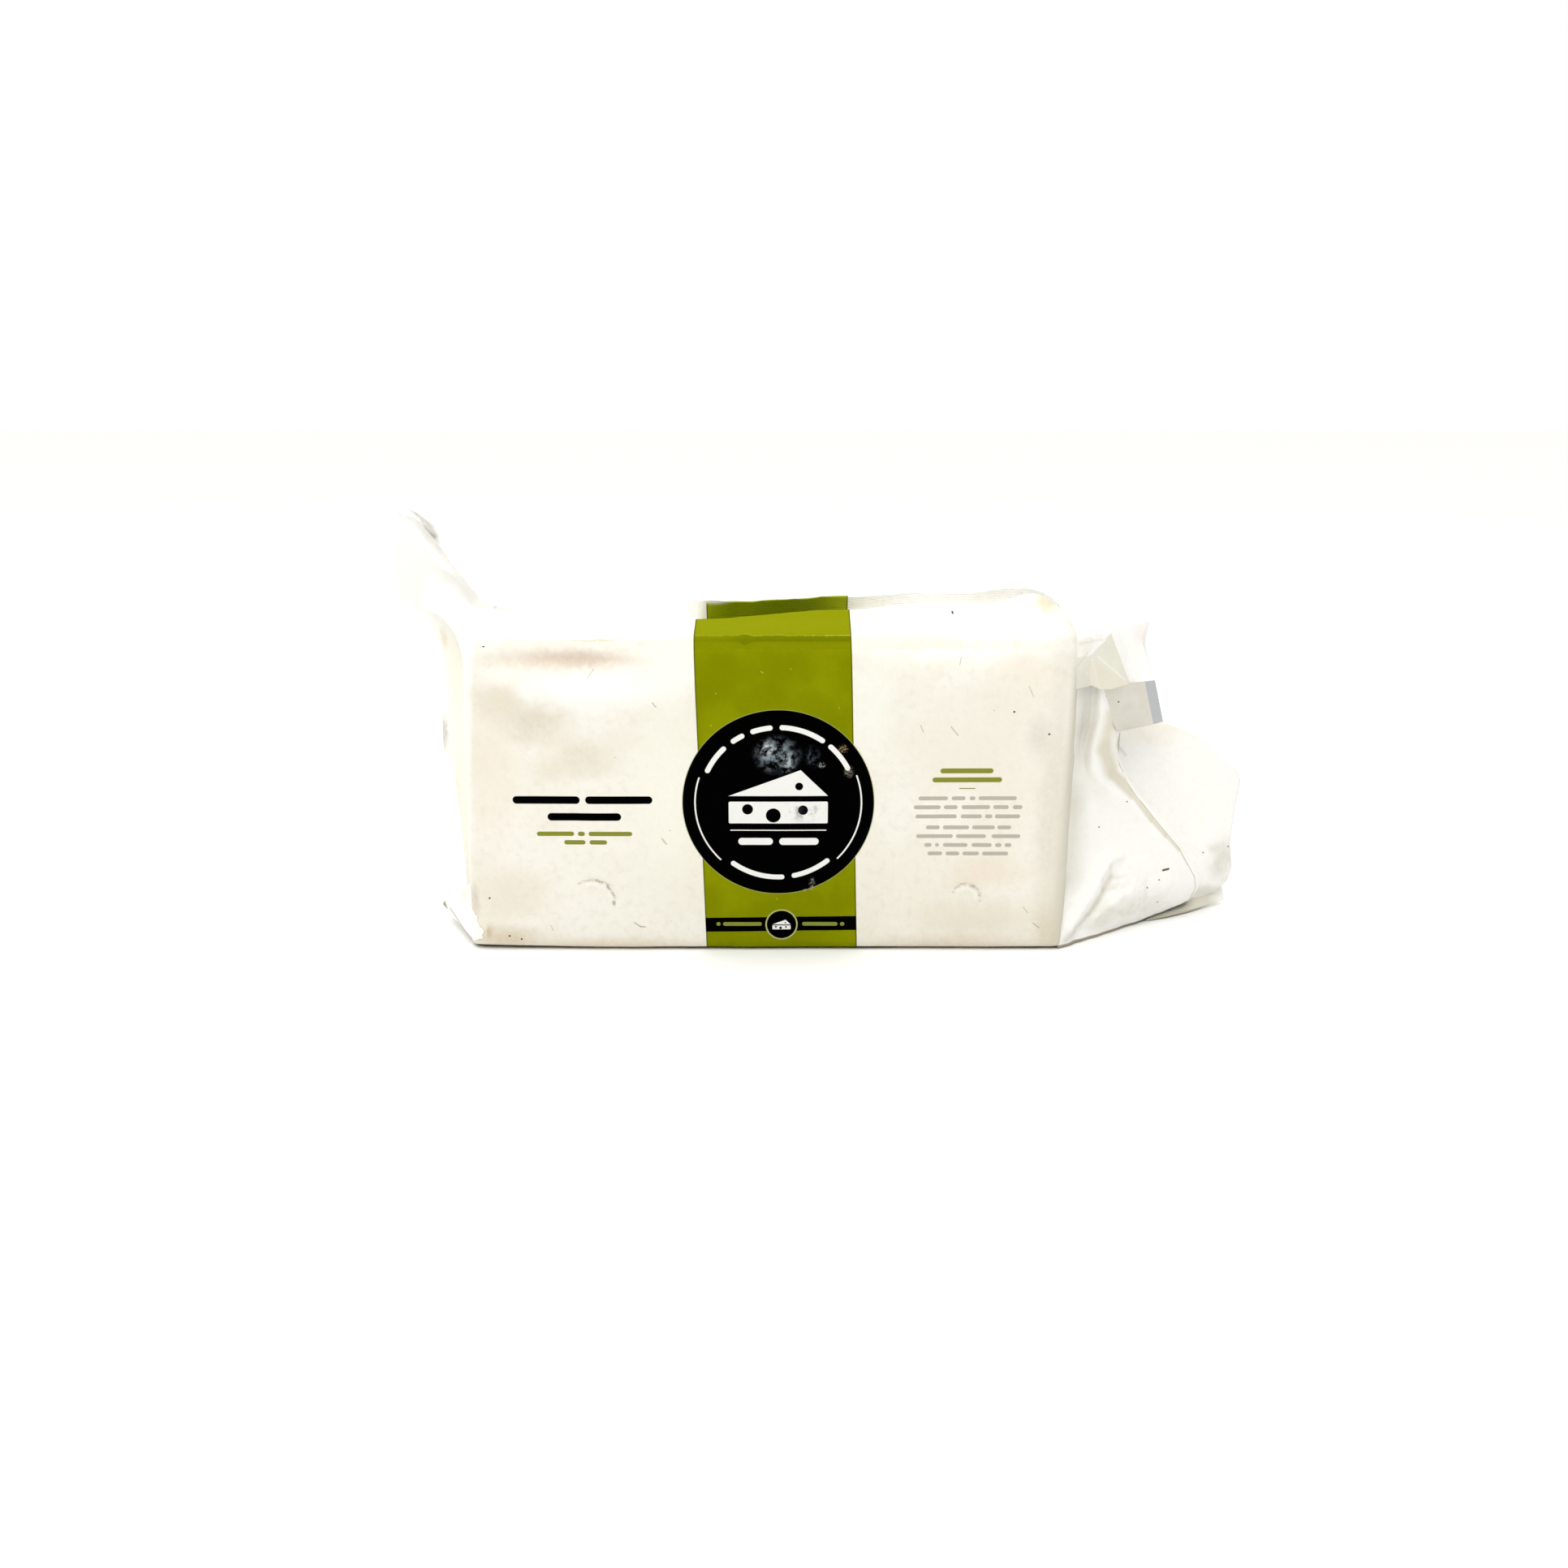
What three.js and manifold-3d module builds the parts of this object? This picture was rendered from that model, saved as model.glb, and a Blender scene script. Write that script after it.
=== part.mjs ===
// A shut pack of vintage cheddar: a brick of cheese in a tube of heat-sealed film.
// The pack stands on its long side. X runs along it, the printed panel faces -Y, and Z is up.
// All sizes are in millimetres. The origin is the middle of the pack's footprint box.

import * as THREE from 'three';
import { ConvexGeometry } from 'three/addons/geometries/ConvexGeometry.js';
import { mergeVertices } from 'three/addons/utils/BufferGeometryUtils.js';
import Module from 'manifold-3d';

const wasm = await Module();
wasm.setup();

// The brick of cheese, as the film shows it from outside.
const BRICK_LEFT = -113;
const BRICK_RIGHT = 74;
const HALF_DEPTH = 40;
const SHOULDER_HEIGHT = 78;
const CREASE_HEIGHT = 100.5;
const CREASE_SETBACK = 7;
const FOOT_ROUNDING = 1.5;
const LEFT_FOOT_LIFT = 2;
const FOOT_REACH = 45;

// The two ends, where the film runs together to an upright seal.
const LEFT_SEAL = -127;
const RIGHT_SEAL = 98;
const SEAL_THICKNESS = 1.6;
const LEFT_SEAL_HEIGHT = 100;
const RIGHT_SEAL_HEIGHT = 84;

// The slack film on top: a ridge in front of the fin seal and a lower one behind it.
// Each line is [x, y, z].
const FRONT_RIDGE = [
  [-113, -15, 107.5],
  [-96, -18, 105],
  [-81, -20, 103],
  [-62, -22, 103],
  [-43, -23, 104.2],
  [6, -20, 106.8],
  [27, -17, 108.6],
  [50, -13, 108.4],
  [65, -10, 111.4],
  [74, -14, 107],
];
const BACK_RIDGE_Y = 20;
const BACK_RIDGE_HEIGHT = 101.8;
const FIN_FOOT_HEIGHT = 97.5;

// The upright fin seal. Each line is [x, height of its free edge].
const FIN_THICKNESS = 1.2;
const FIN_LEAN = 3.5;
const FIN_SPAN = [-122, 78];
const FIN_EDGE = [
  [-122, 105],
  [-99, 103.5],
  [-84, 101.5],
  [-62, 103],
  [-40, 106.4],
  [5, 107.8],
  [40, 107.6],
  [63, 110.4],
  [70, 109],
  [78, 103],
];

// The ear of film that stands up at the left end, in the seal's plane, as [x, z].
const EAR_THICKNESS = 1.6;
const EAR_OUTLINE = [
  [-106, 96],
  [-113.5, 105.5],
  [-121, 117],
  [-125, 125.5],
  [-129, 132.5],
  [-133.5, 136.5],
  [-136, 137],
  [-140.5, 125],
  [-142, 106],
  [-136.5, 104],
  [-132, 95.5],
  [-128.5, 80],
  [-128, 52],
  [-126, 30],
  [-118, 60],
];
const EAR_TIP_CURL = 7;

// The small ear folded round the foot of the left end.
const FOOT_EAR = [
  [-130, -10, 6],
  [-128, -9, 4],
  [-116, -37, 0.4],
  [-119, -14, 16],
  [-112, -30, 10],
  [-112, -6, 1],
];

// The gusset beside the front panel at the right end. Each row runs out from the panel's crease,
// through the valley and the bulge, to the fold where the film turns back.
const GUSSET_ROWS = [
  [[72, -39.5, 0.1], [78, -35, 0.2], [87, -29, 0.4], [103, -17, 1.2], [118, -8, 2.6]],
  [[72, -39.5, 8.5], [78.5, -34, 11.5], [87, -23, 11.5], [104, -14, 9], [121.5, -5, 8]],
  [[72, -39.5, 24], [80, -32, 25], [90.5, -22, 24.5], [103, -14, 21.5], [117, -4, 18.5]],
  [[72, -39, 41], [78, -28, 39], [84.5, -26, 39.5], [94, -18, 37.5], [106, -8, 35.5]],
  [[73, -38.5, 57], [79, -26, 54], [82, -28, 55.5], [88.5, -24, 55], [95, -15, 52.5]],
  [[73, -38, 71.5], [79.5, -25, 68.5], [83, -28, 70], [87, -26, 69.5], [91.5, -19, 66]],
  [[73, -36, 84], [79.5, -25, 81], [82, -26, 81.5], [84.5, -25, 81], [87, -22, 80]],
];

// The flattened end of the tube at the right, behind the gusset, as [x, z].
const TAIL_THICKNESS = 1.6;
const TAIL_OUTLINE = [
  [90, 6],
  [118, 1.5],
  [129.5, 2.7],
  [138, 9.6],
  [138.6, 15],
  [137.7, 22.6],
  [140, 33.7],
  [142, 43.5],
  [139.8, 47.2],
  [133.4, 52],
  [128, 57.7],
  [120.3, 61.4],
  [108, 66],
  [92, 70],
];

// Corners of the crushed film above the gusset.
const PANEL_CORNER = [74, -33, 99.5];
const UPPER_FOLD = [81, -24, 103];
const APEX = [89, -16, 99.3];
const NOTCH = [82, -24, 93];
const HOLLOW = [76, -36, 86];
const SILL = [85.7, -20, 80.4];
const KNUCKLE = [96.3, -14, 82];
const SPIKE = [104.2, -2.5, 101];
const PANEL_TOP = [104.9, -4, 94];
const PANEL_SIDE = [106, -6, 86.2];
const STRIP_TOP = [105.4, -12, 82.6];
const STRIP_END = [109, -12, 68.6];
const STRIP_FOOT = [94, -16, 65.8];

// Each facet is filled back to the seal's plane.
const CRUSHED_FACETS = [
  [PANEL_CORNER, UPPER_FOLD, NOTCH, HOLLOW],
  [UPPER_FOLD, APEX, NOTCH],
  [APEX, NOTCH, KNUCKLE],
  [HOLLOW, NOTCH, KNUCKLE, SILL],
  [APEX, PANEL_TOP, PANEL_SIDE, STRIP_TOP, KNUCKLE],
];
const SPIKE_FACET = [SPIKE, PANEL_TOP, [99, -7, 95]];
const HANGING_STRIP = [SILL, KNUCKLE, STRIP_TOP, STRIP_END, STRIP_FOOT];
const STRIP_THICKNESS = 1.6;

const FILM_COLOUR = 0xf4f0e4;
const film = new THREE.MeshStandardMaterial({ color: FILM_COLOUR, roughness: 0.42, metalness: 0 });

function mix(from, to, share) {
  return from + (to - from) * share;
}

// The value at x on a line of [x, value, ...] points, eased between them.
function along(points, x, column = 1) {
  if (x <= points[0][0]) {
    return points[0][column];
  }
  for (let i = 1; i < points.length; i++) {
    const [before, after] = [points[i - 1], points[i]];
    if (x <= after[0]) {
      const share = (x - before[0]) / (after[0] - before[0]);
      const eased = share * share * (3 - 2 * share);
      return mix(before[column], after[column], eased);
    }
  }
  return points[points.length - 1][column];
}

// How far x has gone into the wedge at either end: 0 on the brick, 1 on the seal.
function wedgeShare(x) {
  if (x < BRICK_LEFT) {
    return (BRICK_LEFT - x) / (BRICK_LEFT - LEFT_SEAL);
  }
  if (x > BRICK_RIGHT) {
    return (x - BRICK_RIGHT) / (RIGHT_SEAL - BRICK_RIGHT);
  }
  return 0;
}

// How much the front foot of the film is rounded up towards the left end.
function footShare(x) {
  const share = Math.min(1, Math.max(0, (BRICK_LEFT + FOOT_REACH - x) / FOOT_REACH));
  return share * share;
}

// The closed outline of the pack across X, as [y, z] corners with the steps to the next one.
function sectionCorners(x) {
  const ridgeY = along(FRONT_RIDGE, x, 1);
  const ridgeZ = along(FRONT_RIDGE, x, 2);
  const setback = HALF_DEPTH - CREASE_SETBACK;
  const footZ = FOOT_ROUNDING + LEFT_FOOT_LIFT * footShare(x);
  return [
    [-HALF_DEPTH + footZ, 0, 1],
    [-HALF_DEPTH, footZ, 7],
    [-HALF_DEPTH, SHOULDER_HEIGHT, 2],
    [-HALF_DEPTH + 2, SHOULDER_HEIGHT + 13, 1],
    [-setback, CREASE_HEIGHT, 3],
    [ridgeY, ridgeZ, 3],
    [-1.5, FIN_FOOT_HEIGHT, 1],
    [1.5, FIN_FOOT_HEIGHT, 3],
    [BACK_RIDGE_Y, BACK_RIDGE_HEIGHT, 3],
    [setback, CREASE_HEIGHT, 1],
    [HALF_DEPTH - 2, SHOULDER_HEIGHT + 13, 2],
    [HALF_DEPTH, SHOULDER_HEIGHT, 7],
    [HALF_DEPTH, FOOT_ROUNDING, 1],
    [HALF_DEPTH - FOOT_ROUNDING, 0, 6],
  ];
}

const SECTION_STEPS = sectionCorners(0).reduce((sum, corner) => sum + corner[2], 0);

// One outline with its steps filled in, drawn together towards the seal in the end wedges.
function section(x) {
  const corners = sectionCorners(x);
  const share = wedgeShare(x);
  const depthScale = mix(1, SEAL_THICKNESS / 2 / HALF_DEPTH, share);
  const sealHeight = x < 0 ? LEFT_SEAL_HEIGHT : RIGHT_SEAL_HEIGHT;
  const points = [];
  corners.forEach(([y, z, steps], index) => {
    const [nextY, nextZ] = corners[(index + 1) % corners.length];
    for (let step = 0; step < steps; step++) {
      const part = step / steps;
      const flatZ = mix(z, nextZ, part);
      const topDrop = mix(1, sealHeight / CREASE_HEIGHT, share);
      points.push([mix(y, nextY, part) * depthScale, flatZ * topDrop]);
    }
  });
  return points;
}

function stations() {
  const list = [];
  const wedgeSteps = 5;
  const brickSteps = 34;
  for (let i = 0; i < wedgeSteps; i++) {
    list.push(mix(LEFT_SEAL, BRICK_LEFT, i / wedgeSteps));
  }
  for (let i = 0; i <= brickSteps; i++) {
    list.push(mix(BRICK_LEFT, BRICK_RIGHT, i / brickSteps));
  }
  for (let i = 1; i <= wedgeSteps; i++) {
    list.push(mix(BRICK_RIGHT, RIGHT_SEAL, i / wedgeSteps));
  }
  return list;
}

// A closed solid from a three.js geometry whose shared corners are merged.
function solid(geometry) {
  geometry.deleteAttribute('normal');
  geometry.deleteAttribute('uv');
  const merged = mergeVertices(geometry, 1e-4);
  const positions = merged.attributes.position.array;
  const corners = Array.from(merged.index.array);
  if (signedVolume(positions, corners) < 0) {
    for (let i = 0; i < corners.length; i += 3) {
      [corners[i], corners[i + 1]] = [corners[i + 1], corners[i]];
    }
  }
  const mesh = new wasm.Mesh({
    numProp: 3,
    vertProperties: new Float32Array(positions),
    triVerts: new Uint32Array(corners),
  });
  return new wasm.Manifold(mesh);
}

function signedVolume(positions, corners) {
  const [a, b, c] = [new THREE.Vector3(), new THREE.Vector3(), new THREE.Vector3()];
  let sum = 0;
  for (let i = 0; i < corners.length; i += 3) {
    a.fromArray(positions, corners[i] * 3);
    b.fromArray(positions, corners[i + 1] * 3);
    c.fromArray(positions, corners[i + 2] * 3);
    sum += a.dot(b.cross(c));
  }
  return sum / 6;
}

// Move every vertex of a geometry to where a function puts it.
function warp(geometry, place) {
  const position = geometry.attributes.position;
  const point = new THREE.Vector3();
  for (let i = 0; i < position.count; i++) {
    point.fromBufferAttribute(position, i);
    place(point);
    position.setXYZ(i, point.x, point.y, point.z);
  }
  return geometry;
}

// The wrapped brick with its two end wedges: a cylinder whose rings become the outlines.
function wrappedBrick() {
  const rings = stations();
  const outlines = rings.map(section);
  const tube = new THREE.CylinderGeometry(1, 1, 1, SECTION_STEPS, rings.length - 1);
  return solid(warp(tube, (point) => {
    const ring = Math.round((0.5 - point.y) * (rings.length - 1));
    const radius = Math.hypot(point.x, point.z);
    const turn = Math.atan2(point.x, point.z) / (2 * Math.PI);
    const step = Math.round((turn + 1) * SECTION_STEPS) % SECTION_STEPS;
    const outline = outlines[ring];
    if (radius < 0.5) {
      const middle = outline.reduce((sum, [, z]) => sum + z, 0) / outline.length;
      point.set(rings[ring], 0, middle);
    } else {
      point.set(rings[ring], outline[step][0], outline[step][1]);
    }
  }));
}

// A flat piece of film in the XZ plane, then bent by a function of its place.
function filmPlate(outline, thickness, bend) {
  const shape = new THREE.Shape(outline.map(([x, z]) => new THREE.Vector2(x, z)));
  const plate = new THREE.ExtrudeGeometry(shape, { depth: thickness, bevelEnabled: false });
  plate.rotateX(Math.PI / 2);
  plate.translate(0, thickness / 2, 0);
  return solid(warp(plate, bend));
}

function leftEar() {
  const bendStart = CREASE_HEIGHT;
  const reach = 137 - bendStart;
  return filmPlate(EAR_OUTLINE, EAR_THICKNESS, (point) => {
    const rise = Math.max(0, point.z - bendStart) / reach;
    point.y -= EAR_TIP_CURL * rise * rise;
  });
}

function finSeal() {
  const [start, end] = FIN_SPAN;
  const length = end - start;
  const strip = new THREE.BoxGeometry(length, FIN_THICKNESS, 1, 40, 1, 3);
  strip.translate((start + end) / 2, 0, 0.5);
  return solid(warp(strip, (point) => {
    const foot = FIN_FOOT_HEIGHT - 2;
    const edge = along(FIN_EDGE, point.x);
    point.y -= FIN_LEAN * point.z;
    point.z = mix(foot, edge, point.z);
  }));
}

// A point on a net of rows, with straight lines between its knots.
function onNet(rows, across, up) {
  const lastRow = rows.length - 1;
  const lastColumn = rows[0].length - 1;
  const row = Math.min(Math.floor(up * lastRow), lastRow - 1);
  const column = Math.min(Math.floor(across * lastColumn), lastColumn - 1);
  const rowShare = up * lastRow - row;
  const columnShare = across * lastColumn - column;
  return [0, 1, 2].map((axis) => {
    const low = mix(rows[row][column][axis], rows[row][column + 1][axis], columnShare);
    const high = mix(rows[row + 1][column][axis], rows[row + 1][column + 1][axis], columnShare);
    return mix(low, high, rowShare);
  });
}

// The right gusset: the net in front, filled back to the plane of the seal.
function rightGusset() {
  const across = (GUSSET_ROWS[0].length - 1) * 2;
  const up = (GUSSET_ROWS.length - 1) * 2;
  const block = new THREE.BoxGeometry(1, 1, 1, across, 1, up);
  block.translate(0.5, 0.5, 0.5);
  return solid(warp(block, (point) => {
    const [x, y, z] = onNet(GUSSET_ROWS, point.x, point.z);
    point.set(x, point.y > 0.5 ? SEAL_THICKNESS / 2 : y, z);
  }));
}

function rightTail() {
  return filmPlate(TAIL_OUTLINE, TAIL_THICKNESS, () => {});
}

// The convex solid between a facet and a second copy of it further back.
function facetSolid(corners, backOf) {
  const front = corners.map((corner) => new THREE.Vector3(...corner));
  const back = front.map((corner) => new THREE.Vector3(corner.x, backOf(corner), corner.z));
  return solid(new ConvexGeometry([...front, ...back]));
}

function crushedFilm() {
  const toSeal = () => SEAL_THICKNESS / 2;
  const behind = (corner) => corner.y + STRIP_THICKNESS;
  const facets = CRUSHED_FACETS.map((corners) => facetSolid(corners, toSeal));
  return [...facets, facetSolid(SPIKE_FACET, behind), facetSolid(HANGING_STRIP, toSeal)];
}

function footEar() {
  return solid(new ConvexGeometry(FOOT_EAR.map((corner) => new THREE.Vector3(...corner))));
}

// The outer skin of a solid, without the small hollows that joining leaves between pieces.
function outerSkin(joined) {
  const shells = joined.decompose();
  return shells.reduce((largest, shell) => (shell.volume() > largest.volume() ? shell : largest));
}

// Join the pieces of film into one body and hand it back as a three.js mesh.
function packMesh() {
  const pieces = [leftEar(), footEar(), finSeal(), rightGusset(), rightTail(), ...crushedFilm()];
  const joined = pieces.reduce((whole, piece) => whole.add(piece), wrappedBrick());
  const { vertProperties, triVerts } = outerSkin(joined).getMesh();
  const geometry = new THREE.BufferGeometry();
  geometry.setAttribute('position', new THREE.BufferAttribute(vertProperties, 3));
  geometry.setIndex(new THREE.BufferAttribute(triVerts, 1));
  geometry.computeVertexNormals();
  const mesh = new THREE.Mesh(geometry, film);
  mesh.name = 'pack';
  return mesh;
}

const cheddar = new THREE.Group();
cheddar.add(packMesh());

const box = new THREE.Box3().setFromObject(cheddar);
const middle = box.getCenter(new THREE.Vector3());
cheddar.position.set(-middle.x, -middle.y, -box.min.z);

export default cheddar;
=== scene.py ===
# %% [markdown]
# # A vintage cheddar in its film pack
# The object is a shut pack: a brick of cheese in a tube of printed film. A wrapping machine folds a flat
# web round the brick, welds its two edges into a fin along the top, and seals both ends flat.
# The CAD frame holds the pack as one plain solid. This lesson lays a finer skin of film over it, piece
# by piece, and prints it. Sizes are written in millimetres and become metres when a mesh is finished.

import math

import bmesh
import bpy
import numpy as np
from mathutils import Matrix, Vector, noise


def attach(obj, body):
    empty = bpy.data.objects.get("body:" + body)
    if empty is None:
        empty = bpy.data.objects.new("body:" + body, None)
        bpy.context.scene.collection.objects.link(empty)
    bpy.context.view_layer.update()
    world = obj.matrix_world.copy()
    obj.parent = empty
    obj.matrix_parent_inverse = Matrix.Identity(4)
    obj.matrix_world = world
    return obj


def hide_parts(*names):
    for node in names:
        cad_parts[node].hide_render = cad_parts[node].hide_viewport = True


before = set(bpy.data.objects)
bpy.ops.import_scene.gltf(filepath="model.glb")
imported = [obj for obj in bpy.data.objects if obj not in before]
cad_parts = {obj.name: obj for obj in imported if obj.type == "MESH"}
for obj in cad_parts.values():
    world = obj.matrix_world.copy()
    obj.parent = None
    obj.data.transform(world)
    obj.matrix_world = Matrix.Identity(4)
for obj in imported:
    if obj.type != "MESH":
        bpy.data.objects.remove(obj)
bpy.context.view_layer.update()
METRES = 0.001
print("CAD nodes:", list(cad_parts))

# %% [markdown]
# ## Where the camera stands
# A camera is a place, a turn and a lens. The picture was taken from a little above the pack and left of
# its middle, and the lines of the film run together as a 34 mm lens makes them. The camera looks down
# by 16 degrees and isn't turned sideways, so the front panel stays square in the picture.

# %% Camera
CAMERA_PLACE = (-15.1, -488.5, 186.9)
CAMERA_PITCH = 16.3
CAMERA_LENS = 34.47
SENSOR_WIDTH = 36
NEAREST_SEEN = 0.01

camera_data = bpy.data.cameras.new("camera")
camera_data.lens = CAMERA_LENS
camera_data.sensor_width = SENSOR_WIDTH
camera_data.clip_start = NEAREST_SEEN
camera = bpy.data.objects.new("camera", camera_data)
camera.location = [value * METRES for value in CAMERA_PLACE]
camera.rotation_euler = (math.radians(90 - CAMERA_PITCH), 0, 0)
bpy.context.scene.collection.objects.link(camera)
bpy.context.scene.camera = camera
print("camera at", tuple(round(value, 4) for value in camera.location))

# %% [markdown]
# ## Small tools for soft film
# A web of film starts flat, so each piece starts as a flat bmesh grid. A function then says where each
# point of the web goes, as hands would fold it. The tools below blend numbers, read a value off a line
# of points, and move a whole grid at once with numpy, which is much faster than point by point.

# %% Numbers along a line
def mix(start, end, share):
    return start + (end - start) * share


def eased(share):
    share = np.clip(share, 0.0, 1.0)
    return share * share * (3 - 2 * share)


def along(points, x, column=1):
    """The value at x on a line of [x, value, ...] points, eased between them."""
    line = sorted(points)
    for before, after in zip(line, line[1:]):
        if x <= after[0]:
            share = (x - before[0]) / (after[0] - before[0])
            return float(mix(before[column], after[column], eased(share)))
    return float(line[-1][column])


def length_marks(points):
    """How far along a line of points each one lies, from 0 to 1."""
    steps = np.linalg.norm(np.diff(points, axis=0), axis=1)
    marks = np.concatenate([[0.0], np.cumsum(steps)])
    return marks / marks[-1]


def polyline(points, shares):
    """Places at shares (0 to 1) of the length of a line of points."""
    points = np.array(points, dtype=float)
    marks = length_marks(points)
    return np.stack([np.interp(shares, marks, values) for values in points.T], axis=-1)


def spline_weights(count, shares):
    """How much each of count knots adds to a smooth curve through all of them, at each share."""
    weights = np.zeros((len(shares), count))
    for row, share in enumerate(shares):
        place = min(max(share, 0.0), 1.0) * (count - 1)
        knot = min(int(place), count - 2)
        t = place - knot
        parts = (
            (-t + 2 * t * t - t**3) / 2,
            (2 - 5 * t * t + 3 * t**3) / 2,
            (t + 4 * t * t - 3 * t**3) / 2,
            (-t * t + t**3) / 2,
        )
        for offset, part in zip((-1, 0, 1, 2), parts):
            index = knot + offset
            if index < 0:
                weights[row, 0] += 2 * part
                weights[row, 1] -= part
            elif index >= count:
                weights[row, count - 1] += 2 * part
                weights[row, count - 2] -= part
            else:
                weights[row, index] += part
    return weights


print("half way from 2 to 6 is", mix(2, 6, 0.5))

# %% Grids and moves
def web(across, up):
    """A flat grid of film, and each vertex's column and row on it."""
    bm = bmesh.new()
    bmesh.ops.create_grid(bm, x_segments=across, y_segments=up, size=0.5)
    flat = np.array([vertex.co[:2] for vertex in bm.verts]) + 0.5
    columns = np.rint(flat[:, 0] * across).astype(int)
    rows = np.rint(flat[:, 1] * up).astype(int)
    return bm, columns, rows


def places_of(bm):
    return np.array([vertex.co[:] for vertex in bm.verts])


def normals_of(bm):
    return np.array([vertex.normal[:] for vertex in bm.verts])


def move_to(bm, places):
    for vertex, place in zip(bm.verts, places):
        vertex.co = place
    bm.normal_update()


def lay_out(bm, places):
    """Moves a web's points to their places, and turns all its faces to one side."""
    move_to(bm, places)
    bmesh.ops.recalc_face_normals(bm, faces=bm.faces)


def push_out(bm, heights):
    """Moves each vertex along its own normal, by a height in millimetres."""
    bm.normal_update()
    move_to(bm, places_of(bm) + normals_of(bm) * heights[:, None])


def smooth_film(bm, verts, rounds=1):
    """Moves each vertex half way to the middle of its neighbours."""
    for _ in range(rounds):
        bmesh.ops.smooth_vert(
            bm, verts=verts, factor=0.5, use_axis_x=True, use_axis_y=True, use_axis_z=True
        )


sample, _, _ = web(2, 3)
print("a web of 2 by 3 steps has", len(sample.verts), "points")
sample.free()

# %% Finished pieces
pieces = []


def finish_piece(name, bm, materials, thickness=None):
    """Turns a bmesh in millimetres into an object in metres, with the film's thickness if it is a sheet."""
    bmesh.ops.scale(bm, vec=(METRES,) * 3, verts=bm.verts)
    for face in bm.faces:
        face.smooth = True
    mesh = bpy.data.meshes.new(name)
    bm.to_mesh(mesh)
    bm.free()
    for material in materials:
        mesh.materials.append(material)
    piece = bpy.data.objects.new(name, mesh)
    bpy.context.scene.collection.objects.link(piece)
    if thickness:
        wall = piece.modifiers.new("film thickness", "SOLIDIFY")
        wall.thickness = thickness * METRES
        wall.offset = -1
        wall.material_offset = len(materials) - 1
    pieces.append(piece)
    print(name, "has", len(mesh.polygons), "faces")


print("one millimetre is", METRES, "of Blender's units")

# %% [markdown]
# ## Creases, swells and dents
# Film that has been handled is never flat. A crease is a narrow ridge along a line, a swell is a wide
# low hump, and a thumb leaves a crescent. Each is a height over the film's own surface, so they can be
# added up and pushed out along the normals. A texture could fake them, but real relief also catches the
# light from the side and shows in outline.

# %% Relief shapes
def near_line(x, z, start, end):
    """Distance from a line between two (x, z) points, and the share along it."""
    run = np.array(end, dtype=float) - np.array(start, dtype=float)
    length = float(np.hypot(*run))
    share = ((x - start[0]) * run[0] + (z - start[1]) * run[1]) / length**2
    held = np.clip(share, 0, 1)
    distance = np.hypot(x - start[0] - held * run[0], z - start[1] - held * run[1])
    return distance, share


def crease(x, z, start, end, height, width):
    """A ridge along a line, sharp at its top, that fades out at both ends."""
    distance, share = near_line(x, z, start, end)
    fade = eased(np.clip(share * 4 + 0.35, 0, 1)) * eased(np.clip((1 - share) * 4 + 0.35, 0, 1))
    return height * np.exp(-np.abs(distance / width) ** 1.4) * fade


def swell(x, z, centre, reach, height):
    """A wide low hump."""
    spread = ((x - centre[0]) / reach[0]) ** 2 + ((z - centre[1]) / reach[1]) ** 2
    return height * np.exp(-spread)


def crescent(x, z, centre, radius, start, end, height, width):
    """Part of a round ridge, from one angle to another in degrees."""
    angle = np.degrees(np.arctan2(z - centre[1], x - centre[0]))
    ring = np.abs(np.hypot(x - centre[0], z - centre[1]) - radius)
    turn = (angle - start) % 360 / ((end - start) % 360)
    fade = np.where(turn < 1, np.sin(np.clip(turn, 0, 1) * np.pi) ** 0.6, 0)
    return height * np.exp(-((ring / width) ** 2)) * fade


def rumple(places, size, seed):
    """Soft noise between -1 and 1 whose lumps are about size millimetres wide."""
    shift = Vector((seed * 17.3, seed * 5.1, seed * 9.7))
    return np.array([noise.noise(Vector(place) / size + shift) for place in places])


def add_creases(relief, share, across, up, creases):
    """Adds a list of creases to a relief, as far as share lets them show."""
    for start, end, height, width in creases:
        relief += share * crease(across, up, start, end, height, width)


def add_swells(relief, share, across, up, swells):
    for centre, reach, height in swells:
        relief += share * swell(across, up, centre, reach, height)


print("a crease is highest on its line:", round(float(crease(0.0, 5.0, (0, 0), (0, 10), 1, 1)), 2))

# %% [markdown]
# ## Floor, world and lights
# In a white light tent the roof of the pack is brighter than its front, and only thin soft shadows are
# left. A bright world stands for the tent, a wide soft light straight overhead stands for its roof, and
# lamps on the four sides shape the folds, the left one stronger than the right. One strong lamp would be
# simpler, but it would throw a hard shadow. The tent is seen brighter than it lights, as a wall of white
# cloth is in a bright picture. The Standard view keeps whites white.

# %% Tent
TENT_LIGHT = 0.13
TENT_LIGHT_COLOUR = (1.0, 0.95, 0.84, 1)
TENT_SEEN = 1.0
TENT_SEEN_COLOUR = (1.0, 1.0, 1.0, 1)

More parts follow.
